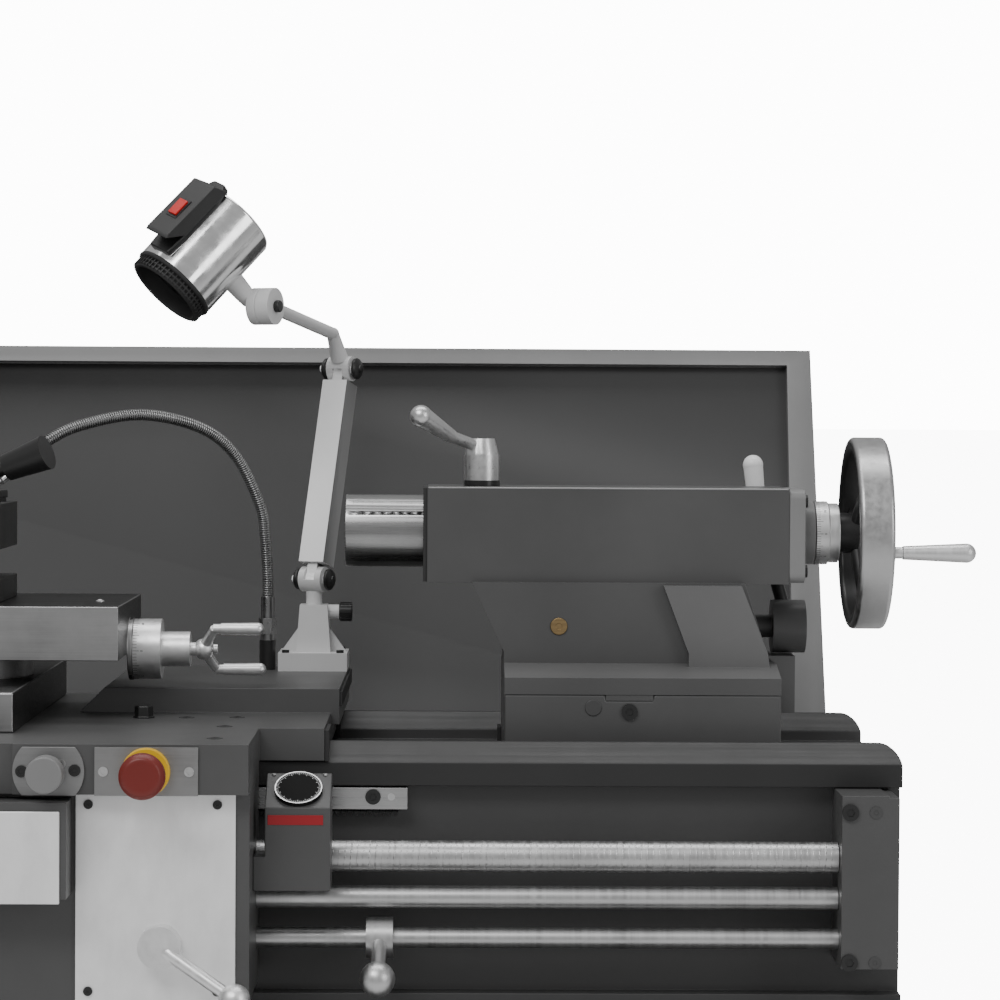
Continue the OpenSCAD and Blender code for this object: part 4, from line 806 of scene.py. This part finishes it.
def make_tailstock():
    for node, edge in (("tailstock_base", 2.5), ("tailstock_body", 3.0)):
        casting = add_part(cad_copy(node, node + "_casting"), "tailstock", "machine_grey", CAST_PAINT, edge,
                           node)
        paint_where(casting, (CAST_PAINT, PAINTED_LIGHT_ENAMEL), on_flank)
    add_part(cad_copy("tailstock_end_cap", "end_cap"), "tailstock", "light_enamel", CAP_PAINT, 2.5,
             "tailstock_end_cap")
    add_part(cad_copy("tailstock_clamp", "clamp_shoe"), "tailstock", "machine_grey", DEEP_PAINT, 1,
             "tailstock_clamp")
    lo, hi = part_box("tailstock_body")
    left = lo.x / MM
    wiper = slab("quill_wiper", [(-58, -50), (58, -50), (58, 46), (-58, 46)], 4.2,
                 facing_matrix(at(left, 0, 0), (-1, 0, 0)), (0, 0, 38))
    add_part(wiper, "tailstock", "black_plastic", RUBBER, 0.4)
    # A bright ground strip along the body's top front edge: a painted highlight.
    edge = box_piece("tailstock_top_edge", (left + 1, -60.3, 45.6), (left + 370, -58.6, 47.2), 0.5)
    dress(edge, "tailstock", "satin_steel", GROUND_X)
    base_lo, base_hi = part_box("tailstock_base")
    for name, x0, x1 in (("left", base_lo.x / MM - 4, base_lo.x / MM),
                         ("right", base_hi.x / MM, base_hi.x / MM + 4)):
        for side in (-1, 1):
            y0, y1 = sorted((side * 118, side * 84))
            strip = box_piece("way_wiper_%s_%s" % (name, "front" if side < 0 else "rear"),
                              (x0, y0, -231.5), (x1, y1, -213), 0.6)
            dress(strip, "tailstock", "black_plastic", RUBBER)
    plug = turned("oil_level_plug", [(0, 0), (8.9, 0), (8.9, 1), (8.2, 1.8), (3.4, 1.8), (3.2, 1.0),
                                     (0, 1.0)],
                  facing_matrix(at(735, -70, -94.5), (0, -1, 0)))
    add_part(plug, "tailstock", "satin_steel", BRONZE, 0.2)
    plug = turned("blanking_plug", [(0, 0), (8.5, 0), (8.5, 0.6), (7.8, 1.2), (0, 1.2)],
                  facing_matrix(at(768.5, -120, -173), (0, -1, 0)))
    add_part(plug, "tailstock", "machine_grey", DEEP_PAINT, 0.2)
    screws("set_over_screw", "tailstock", BLACK_STEEL, [at(805, -121, -177)], (0, -1, 0), 8.2,
           3, 4.2)
    lever = soften(cad_copy("clamp_lever", "bed_clamp_handle"), 0.8)
    dress(lever, "bed_clamp", "satin_steel", CAP_PAINT, "clamp_lever")
    # The hub below the rod takes the lighter enamel as painted light against its shade.
    paint_where(lever, (ARM_PAINT, BLACK_STEEL, PAINTED_LIGHT_ENAMEL),
                lambda middle, normal: 0 if middle.z > 10 else (1 if middle.z > -58 else 2))
    lock = JOINT_AT["quill_lock_turn"]
    seat = turned("lock_lever_seat", [(10, 0.2), (18.8, 0.2), (18.8, 6), (10, 6), (10, 0.2)],
                  facing_matrix(Vector((lock.x, lock.y, hi.z)), (0, 0, 1)), 48)
    add_part(seat, "quill_lock", "black_plastic", BLACK_STEEL, 0.2)
    screws("end_cap_screws", "tailstock", BLACK_STEEL,
           [at(989, y, z) for y in (-46, 46) for z in (-38, 34)], (1, 0, 0), 6.5, 4, 3.2)


def cut_into(piece, cutters):
    """Cuts the cutters out of a piece, and the cut faces take the cutters' finish."""
    for cutter in cutters:
        rule = piece.modifiers.new("cut", "BOOLEAN")
        rule.operation = "DIFFERENCE"
        rule.solver = "EXACT"
        rule.material_mode = "TRANSFER"
        rule.object = cutter
    settle(piece)
    for cutter in cutters:
        bpy.data.objects.remove(cutter)
    return piece


def make_quill():
    barrel = soften(cad_copy("quill", "quill_barrel"), 1.0)
    barrel.data.materials.append(QUILL_STEEL)
    radius = 37.5
    angle = math.radians(52)
    out = Vector((0, -math.cos(angle), math.sin(angle)))
    basis = Matrix((Vector((1, 0, 0)), out.cross(Vector((1, 0, 0))), out)).transposed().to_4x4()
    row = Matrix.Translation(at(523, 0, 0) + out * radius * MM) @ basis
    cutters = [grow(name, "row", MARK_INK, row, Count=count, Pitch=pitch * MM, Wide=0.00028, Deep=tall * MM,
                    Tall=0.0005)
               for name, count, pitch, tall in (("mm_marks", 76, 1.0, 2.2), ("cm_marks", 8, 10.0, 4.5))]
    angle = math.radians(30)
    out = Vector((0, -math.cos(angle), math.sin(angle)))
    basis = Matrix((Vector((1, 0, 0)), out.cross(Vector((1, 0, 0))), out)).transposed().to_4x4()
    for step, digit in enumerate("1234567"):
        place = Matrix.Translation(at(533 + 10 * step, 0, 0) + out * (radius - 0.05) * MM) @ basis
        cutters.append(number("number_" + digit, digit, 6.0, place, MARK_INK, 0.3))
    cut_into(barrel, cutters)
    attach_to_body(barrel, "quill_tube")
    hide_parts("quill")


def make_wheel():
    wheel = soften(cad_copy("tailstock_handwheel", "tailstock_wheel"), 1.0)
    dress(wheel, "quill_drive", "satin_steel", SATIN, "tailstock_handwheel")

    def pick(middle, normal):
        reach = math.hypot(middle.y, middle.z)
        return 0 if reach > 91 else 1
    paint_where(wheel, (RIM_STEEL, BLACK_STEEL), pick)
    add_part(cad_copy("tailstock_handle", "wheel_handle"), "wheel_grip", "satin_steel", DIAL_STEEL, 0.6,
             "tailstock_handle")
    add_part(cad_copy("tailstock_dial", "feed_dial"), "quill_drive", "satin_chrome", DIAL_STEEL, 0.8,
             "tailstock_dial")
    add_part(cad_copy("quill_screw", "quill_spindle"), "quill_drive", "ground_steel", TURNED, 0.5,
             "quill_screw")
    lo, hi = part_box("tailstock_dial")
    dial_marks("tailstock_dial", lo.x / MM, 33, 0, 0, "quill_drive", 80)
    nut = turned("wheel_nut", [(0, 0), (13, 0), (13, 3), (11, 4), (11, 12), (9, 13.5), (0, 13.5)],
                 facing_matrix(at(1064, 0, 0), (1, 0, 0)), 6)
    add_part(nut, "quill_drive", "satin_steel", BLACK_STEEL, 0.5)


def dial_marks(name, x, radius, y, rise, body, count):
    """Marks and numbers round a dial whose axis is along X."""
    place = facing_matrix(at(x + 2.4, y, rise), (1, 0, 0))
    fine = grow(name + "_marks", "ring", MARK_INK, place, Count=count, Radius=radius * MM,
                Across=0.0003, Out=0.00016, Along=0.0042)
    attach(fine, body)
    place = facing_matrix(at(x + 3.6, y, rise), (1, 0, 0))
    coarse = grow(name + "_long_marks", "ring", MARK_INK, place, Count=count // 5, Radius=radius * MM,
                  Across=0.0004, Out=0.00018, Along=0.0066)
    attach(coarse, body)
    for k in range(count // 10):
        angle = TAU * 10 * k / count + math.pi
        out = Vector((0, math.cos(angle), math.sin(angle)))
        run = Vector((1, 0, 0))
        side = out.cross(run)
        basis = Matrix((side * -1, run, out)).transposed().to_4x4()
        place = Matrix.Translation(at(x + 9.4, y, rise) + out * (radius + 0.05) * MM) @ basis
        dress(number("%s_number_%d" % (name, k), str(k * 2), 3.6, place, MARK_INK, 0.1), body,
              "black_plastic", MARK_INK)


# ---- lamp
def make_lamp():
    for node, body in (("lamp_base", "carriage"), ("lamp_post", "lamp_swivel"), ("lamp_arm", "lamp_lower"),
                       ("lamp_rod", "lamp_upper")):
        piece = add_part(cad_copy(node, node + "_casting"), body, "lamp_aluminium", SILVER_PAINT, 0.9, node)
        if node == "lamp_arm":
            # The arm's faces that face +X take painted shade.
            paint_where(piece, (ARM_PAINT, ARM_PAINTED_SHADE), lambda middle, normal: 1 if normal.x > 0.5 else 0)
    make_lamp_head()
    lo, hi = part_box("lamp_base")
    foot = Vector(((lo.x + hi.x) / 2, (lo.y + hi.y) / 2, lo.z))
    knob = turned("lamp_clamp_knob", [(0, 0), (9.5, 0), (10, 1), (10, 13), (9, 14.5), (0, 14.5)],
                  facing_matrix(Vector((foot.x, foot.y, lo.z)) + Vector((28, 0, 64)) * MM, (1, 0, 0)))
    add_part(knob, "carriage", "black_plastic", BLACK, 0.4)
    ribs = grow("lamp_knob_ribs", "ring", BLACK,
                facing_matrix(foot + Vector((35.5, 0, 64)) * MM, (1, 0, 0)),
                Count=18, Radius=0.010, Across=0.0015, Out=0.0014, Along=0.0125)
    attach(ribs, "carriage")
    disc = [(0, 0), (11.5, 0), (12, 0.8), (12, 3), (9.5, 5.4), (4.5, 6.6), (4.2, 8.2), (0, 8.6)]
    for tag, pivot in (("low", PIVOT_LOW), ("high", PIVOT_HIGH)):
        for side in (-1, 1):
            place = facing_matrix(pivot + PIN * side * 16.5 * MM, PIN * side)
            piece = turned("friction_disc_%s_%s" % (tag, "near" if side < 0 else "far"), disc, place, 32)
            add_part(piece, "lamp_lower", "black_plastic", BLACK, 0.3)
    screws("lamp_base_screws", "carriage", BLACK_STEEL,
           [Vector((foot.x + dx * MM, foot.y + dy * MM, lo.z + 0.0215))
            for dx in (-30, 30) for dy in (-28, 28)],
           (0, 0, 1), 4.2, 3, 2.1)


def make_lamp_head():
    shell = turned("lamp_shell", [(0, -50), (38, -50), (45, -48.5), (47, -45), (47, 50), (44.4, 50),
                                  (44.4, -44),
                                  (42, -46), (0, -46)], HEAD_PLACE, 96)
    add_part(shell, "lamp_shade", "lamp_aluminium", CHROME, 0.4, "lamp_head")
    bezel = turned("lamp_bezel_ring", [
        (0, 44), (44.3, 44), (44.3, 50.2), (47.3, 50.4), (47.6, 52), (46.4, 54), (42.6, 55), (44.2, 57),
        (44.2, 58.5),
        (42.4, 60), (44, 62), (44, 63.4), (42.6, 64.8), (42, 66), (39.4, 66), (38.2, 64), (38, 47), (0, 47)],
        HEAD_PLACE, 72)
    add_part(bezel, "lamp_shade", "black_plastic", RUBBER, 0.25, "lamp_bezel")
    folds = grow("bezel_folds", "ring", RUBBER, HEAD_PLACE @ Matrix.Translation((0, 0, 0.0595)),
                 Count=54, Radius=0.0436, Across=0.0013, Out=0.0026, Along=0.0105)
    attach(folds, "lamp_shade")
    lens = turned("lamp_lens", [(0, 47.2), (37.8, 47.2), (37.8, 48), (20, 49.6), (0, 50.2)], HEAD_PLACE, 64)
    add_part(lens, "lamp_shade", "black_plastic", LENS, 0)
    strip = [(-15, 44), (-17, 20), (-17, -30), (-12, -50), (-8, -55), (8, -55), (12, -50), (17, -30),
             (17, 20), (15, 44)]
    turn = HEAD_PLACE @ Matrix.Rotation(-math.pi / 2, 4, "X") @ Matrix.Translation((0, 0, 0.0405))
    saddle = slab("switch_saddle", [(x, -y) for x, y in strip], 10.5, turn)
    add_part(saddle, "lamp_shade", "black_plastic", BLACK, 1.6)
    side = [(-50, 48), (-40, 67), (33, 69), (38, 67.5), (16, 48)]
    turn = HEAD_PLACE @ Matrix.Rotation(-math.pi / 2, 4, "Y") @ Matrix.Translation((0, 0, -0.017))
    house = slab("switch_housing", side, 34, turn)
    add_part(house, "lamp_shade", "black_plastic", HOUSING, 1.2)
    rim = slab("rocker_frame", [(-8, -13), (8, -13), (8, 13), (-8, 13)], 1.6,
               HEAD_PLACE @ Matrix.Rotation(-math.pi / 2, 4, "X") @ Matrix.Translation((0, 0, 0.0676)))
    add_part(rim, "lamp_shade", "black_plastic", BLACK, 0.4)
    add_part(cad_copy("lamp_switch", "rocker"), "lamp_rocker", "stop_red", SWITCH_RED, 0.6, "lamp_switch")
    disc = turned("knuckle_disc", [(0, 0.4), (18.5, 0.4), (20, 2), (20, 11), (18, 12.4), (0, 12.4)],
                  facing_matrix(KNUCKLE, -PIN), 48)
    add_part(disc, "lamp_shade", "lamp_aluminium", SILVER_PAINT, 0.6)
    foot = KNUCKLE - PIN * 10 * MM
    reach = HEAD_MID + Vector((18, 0, -20)) * MM - foot
    stem = turned("knuckle_stem", [(0, 8), (9, 8), (10.5, 20), (12, reach.length / MM - 14),
                                   (0, reach.length / MM - 14)],
                  facing_matrix(foot, reach), 32)
    add_part(stem, "lamp_shade", "lamp_aluminium", SILVER_PAINT, 0.6)
    cap = turned("knuckle_screw", [(0, 15.2), (6, 15.2), (6.6, 16), (6.6, 20), (5.6, 21), (0, 21)],
                 facing_matrix(KNUCKLE, PIN), 24)
    add_part(cap, "lamp_shade", "black_plastic", BLACK_STEEL, 0.3)
    seam = math.radians(118)
    line = box_like(HEAD_PLACE, Vector((math.cos(seam) * 46.9, math.sin(seam) * 46.9, 1)), (0.5, 0.5, 96))
    line.name = "shell_seam"
    add_part(line, "lamp_shade", "lamp_aluminium", BLACK_STEEL, 0)


def box_like(place, middle, size):
    """A small bar at a middle point of a place's own frame, in millimetres."""
    wide, deep, tall = size
    corner = Matrix.Translation((middle - Vector(size) / 2) * MM)
    return slab("bar", [(0, 0), (wide, 0), (wide, deep), (0, deep)], tall, place @ corner)


# ---- coolant line
def smooth_route(points, steps):
    out = []
    for k in range(len(points) - 1):
        a, b = points[max(0, k - 1)], points[k]
        c, d = points[k + 1], points[min(len(points) - 1, k + 2)]
        for s in range(steps):
            t = s / steps
            out.append(0.5 * (2 * b + (c - a) * t + (2 * a - 5 * b + 4 * c - d) * t * t
                              + (3 * b - a - 3 * c + d) * t ** 3))
    return out + [points[-1]]


def make_coolant():
    x, y, low = 421, 215, -163
    route = [at(x + dx, y + dy, low + dz) for dx, dy, dz in (
        (0, 0, 78), (0, 0, 101), (-3, -3, 148), (-8, -10, 182), (-33, -30, 236), (-70, -60, 268),
        (-131, -100, 282), (-193, -135, 270), (-227, -155, 252), (-256, -170, 229), (-270, -178, 215))]
    bm = bmesh.new()
    spots = [bm.verts.new(p) for p in smooth_route(route, 6)]
    for a, b in zip(spots, spots[1:]):
        bm.edges.new((a, b))
    hose = grow("beaded_hose", "hose", HOSE_STEEL, base=mesh_object("beaded_hose", bm),
                Pitch=0.0026, Radius=0.0064, Bead=0.0011)
    attach(hose, "carriage")
    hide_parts("coolant_hose")
    end, tip = at(x - 267, y - 176, low + 218), at(x - 284, y - 185, low + 203)
    length = (tip - end).length / MM
    nozzle = turned("nozzle", [(0, 0), (7.4, 0), (7.8, 1), (7.8, 7), (6.4, 8.5), (4.6, length), (3.4, length),
                               (3.4, length - 8), (0, length - 8)], facing_matrix(end, tip - end), 32)
    add_part(nozzle, "carriage", "satin_chrome", CHROME, 0.3)
    valve = soften(cad_copy("coolant_valve", "hose_stub"), 0.6)
    dress(valve, "carriage", "black_plastic", BLACK_STEEL, "coolant_valve")
    paint_where(valve, (BLACK_STEEL, HOSE_STEEL), lambda middle, normal: 1 if middle.z > low + 32.6 else 0)


# ---- carriage
def make_saddle():
    add_part(cad_copy("saddle", "saddle_casting"), "carriage", "machine_grey", CAST_PAINT, 3.5, "saddle")
    bolt = turned("saddle_bolt", [(0, 0), (11, 0), (11, 1.6), (9.6, 1.7), (9.6, 11), (8.4, 12.4), (0, 12.4)],
                  facing_matrix(at(314, -90, -188), (0, 0, 1)), 6)
    add_part(bolt, "carriage", "black_plastic", BLACK_STEEL, 0.5)
    screws("deck_screws", "carriage", DEEP_PAINT,
           [at(357, -87, -188), at(408, -83, -188), at(402, -176, -188), at(401, -291, -188)], (0, 0, 1), 8,
           1.2, 6, 4)
    for tag, side in (("front", -1), ("rear", 1)):
        outline = [(side * 188, -190), (side * 126, -190), (side * 126, -229), (side * 136, -222),
                   (side * 154, -202),
                   (side * 162, -202), (side * 184, -221), (side * 188, -221)]
        if side > 0:
            outline = outline[::-1]
        wiper = slab("saddle_wiper_" + tag, outline, 4.5, facing_matrix(at(501, 0, 0), (1, 0, 0), (0, 0, 1)))
        add_part(wiper, "carriage", "black_plastic", RUBBER, 0.5)
    lo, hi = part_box("saddle")
    cap = slab("bridge_wiper", [(-28, -181), (268, -181), (268, -166), (-28, -166)], 3,
               facing_matrix(at(hi.x / MM, 0, 0), (1, 0, 0), (0, 0, 1)))
    add_part(cap, "carriage", "black_plastic", RUBBER, 0.5)


def make_apron():
    apron = soften(cad_copy("apron", "apron_casting"), 3)
    dress(apron, "carriage", "machine_grey", CAST_PAINT, "apron")
    plate = box_piece("apron_plate", (274, -333, -432), (424, -330.2, -236.5), 0.6)
    dress(plate, "carriage", "satin_steel", WHITE_PLATE)
    screws("apron_plate_screws", "carriage", BLACK_STEEL,
           [at(x, -333.6, z) for x in (286, 407) for z in (-246, -422)], (0, -1, 0), 4.4, 2, 2.2, 4)
    lid = box_piece("apron_lid", (146, -375, -334), (264, -372, -248), 1.2)
    dress(lid, "carriage", "satin_steel", WHITE_PLATE)


def make_controls():
    add_part(cad_copy("estop_plate", "stop_plate"), "carriage", "satin_steel", PLATE_STEEL, 0.4,
             "estop_plate")
    add_part(cad_copy("estop_button", "stop_cap"), "stop_button", "stop_red", RED, 1.4, "estop_button")
    face = -353
    ring = turned("stop_ring", [(8.8, 0), (22.6, 0), (22.6, 5.6), (21.6, 6.4), (8.8, 6.4), (8.8, 0)],
                  facing_matrix(at(342, face, -213), (0, -1, 0)), 64)
    add_part(ring, "carriage", "stop_red", YELLOW, 0.2)
    screws("stop_plate_screws", "carriage", SATIN,
           [at(302, face - 0.4, -213), at(382, face - 0.4, -213)],
           (0, -1, 0), 4.6, 1.4, 3.0, 4)
    add_part(cad_copy("oil_pump_plate", "pump_plate"), "carriage", "satin_steel", PLATE_STEEL, 0.4,
             "oil_pump_plate")
    add_part(cad_copy("oil_pump_knob", "pump_knob_cap"), "pump_knob", "grey_plastic", GREY_KNOB, 2.0,
             "oil_pump_knob")
    screws("pump_plate_screws", "carriage", BLACK_STEEL,
           [at(226, face - 0.6, -213), at(275.5, face - 0.6, -212)],
           (0, -1, 0), 5.6, 1.6, 3.2)
    screws("pump_plug", "carriage", SATIN, [at(263, face - 0.2, -206)], (0, -1, 0), 4.2, 1, 2,
           12)


def make_thread_dial():
    add_part(cad_copy("thread_dial_housing", "chasing_housing"), "carriage", "machine_grey", CAST_PAINT, 2,
             "thread_dial_housing")
    add_part(cad_copy("thread_dial", "chasing_face"), "chasing_dial", "black_plastic", DIAL_BLACK, 0.4,
             "thread_dial")
    tilt = math.radians(35)
    out = Vector((0, -math.sin(tilt), math.cos(tilt)))
    face = facing_matrix(at(479.5, -262, -241), out)
    for tag, radius, count, long in (("marks", 19.5, 16, 3.2), ("fine_marks", 20.2, 64, 1.6)):
        marks = grow("chasing_" + tag, "ring", WHITE_INK, face @ Matrix.Translation((0, 0, 0.0044)),
                     Count=count, Radius=radius * MM, Across=0.0005, Out=long * MM, Along=0.0002)
        attach(marks, "chasing_dial")
    ring = turned("chasing_rim", [(21.6, 4.2), (22.8, 4.2), (22.8, 4.7), (21.6, 4.7), (21.6, 4.2)], face, 64)
    add_part(ring, "chasing_dial", "satin_chrome", SATIN, 0)
    screws("chasing_rivets", "carriage", BRIGHT,
           [at(455, -243, -227.4), at(504, -243, -227.4)], (0, 0, 1), 2.2, 1.6, 0.6, 8)
    label = box_piece("blank_label", (451, -282.7, -271.4), (504, -282, -262), 0.2)
    dress(label, "carriage", "stop_red", RED_PLATE)


def make_slides():
    slide = soften(cad_copy("top_slide", "upper_slide"), 2.2)
    dress(slide, "top_table", "ground_steel", GROUND_FACE, "top_slide")
    paint_where(slide, (GROUND_FACE, DARK_STEEL),
                lambda middle, normal: 1 if normal.z > 0.95 or normal.x > 0.95 or normal.z < -0.8 else 0)
    add_part(cad_copy("compound_base", "swivel_base"), "compound", "ground_steel", GROUND_FACE, 1.2,
             "compound_base")
    cross = soften(cad_copy("cross_slide", "lower_slide"), 2.0)
    dress(cross, "cross_table", "ground_steel", GROUND_FACE, "cross_slide")
    paint_where(cross, (GROUND_FACE, DARK_STEEL),
                lambda middle, normal: 1 if abs(normal.x) > 0.9 or normal.z > 0.95 else 0)
    add_part(cad_copy("compound_crank", "upper_crank"), "top_handle", "satin_steel", BRIGHT, 0.7,
             "compound_crank")
    dial_marks("upper_dial", 299.4, 31, -35, -122, "top_handle", 60)
    add_part(cad_copy("cross_crank", "lower_crank"), "cross_handle", "satin_steel", BRIGHT, 0.8,
             "cross_crank")
    ball = turned("ball_oiler", [(0, 0), (4.5, 0), (4.5, 0.8), (3, 1.4), (1.6, 2.2), (0, 2.6)],
                  facing_matrix(at(266, -60, -72), (0, 0, 1)), 20)
    add_part(ball, "top_table", "satin_steel", BRIGHT, 0)
    screws("upper_slide_gib_screws", "top_table", BLACK_STEEL,
           [at(x, 80.8, -104) for x in (-20, 60, 140, 220)], (0, 1, 0), 4.6, 2, 2.2)


def make_tool_post():
    add_part(cad_copy("tool_post", "turret_block"), "turret", "ground_steel", TURRET_STEEL, 1.5, "tool_post")
    lever = soften(cad_copy("tool_post_lever", "turret_handle"), 0.8)
    dress(lever, "turret_lever", "satin_steel", BLACK, "tool_post_lever")
    post_x, post_y, post_top = 104, -35, 31.4
    edge = 52
    places = [(side * edge, run) for side in (-1, 1) for run in (-40, 0, 40)]
    places += [(run, side * edge) for side in (-1, 1) for run in (-20, 20)]
    spots = [at(post_x + dx, post_y + dy, post_top) for dx, dy in places]
    for k, spot in enumerate(spots):
        bolt = turned("turret_screw_%d" % k,
                      [(0, -3.6), (5, -3.6), (5, 1), (6.6, 1.2), (6.6, 7.4), (5.4, 8.6), (0, 8.6)],
                      facing_matrix(spot, (0, 0, 1)), 4)
        add_part(bolt, "turret", "satin_steel", BLACK_STEEL, 0.4)


MAKERS = (
    make_bed, make_guard, make_stand, make_rack, make_bracket, make_leadscrew, make_tailstock, make_quill,
    make_wheel, make_lamp, make_coolant, make_saddle, make_apron, make_controls, make_thread_dial, make_slides, make_tool_post)


# node: (body, slot, finish, edge width in mm)
FINISHES = {
    "headstock_casing": ("frame", "light_enamel", CAST_PAINT, 6),
    "headstock_cover": ("frame", "light_enamel", CAST_PAINT, 4),
    "spindle_bearings": ("frame", "ground_steel", GROUND_X, 0.5),
    "feed_gearbox": ("frame", "light_enamel", CAST_PAINT, 4),
    "chip_tray": ("frame", "machine_grey", DEEP_PAINT, 1.2),
    "motor": ("frame", "machine_grey", CAST_PAINT, 2),
    "drive_belt": ("frame", "belt_rubber", BELT, 0.5),
    "motor_pulley": ("motor_rotor", "ground_steel", SATIN, 0.8),
    "input_pulley": ("input_shaft", "ground_steel", SATIN, 0.8),
    "spindle": ("spindle_line", "ground_steel", TURNED, 0.8),
    "chuck_body": ("spindle_line", "ground_steel", TURNED, 1.5),
    "chuck_jaws": ("spindle_line", "ground_steel", GROUND_FACE, 1.0),
    "speed_lever": ("gear_lever", "satin_steel", BRIGHT, 0.8),
    "end_cover": ("end_door", "light_enamel", CAST_PAINT, 6),
    "feed_rod": ("feed_shaft", "ground_steel", TURNED, 0.8),
    "control_rod": ("start_rod", "ground_steel", TURNED, 0.8),
    "apron_handwheel": ("carriage_wheel", "satin_steel", SATIN, 1),
    "half_nut_lever": ("nut_lever", "satin_steel", BRIGHT, 0.8),
    "quill_lock_lever": ("quill_lock", "satin_steel", SATIN, 0.8),
}


def finish_nodes():
    for node, (body, slot, finish, edge) in FINISHES.items():
        piece = soften(cad_copy(node, node + "_piece"), edge)
        dress(piece, body, slot, finish, node)


make_camera()
make_floor()
make_lights()
finish_nodes()
for maker in MAKERS:
    maker()
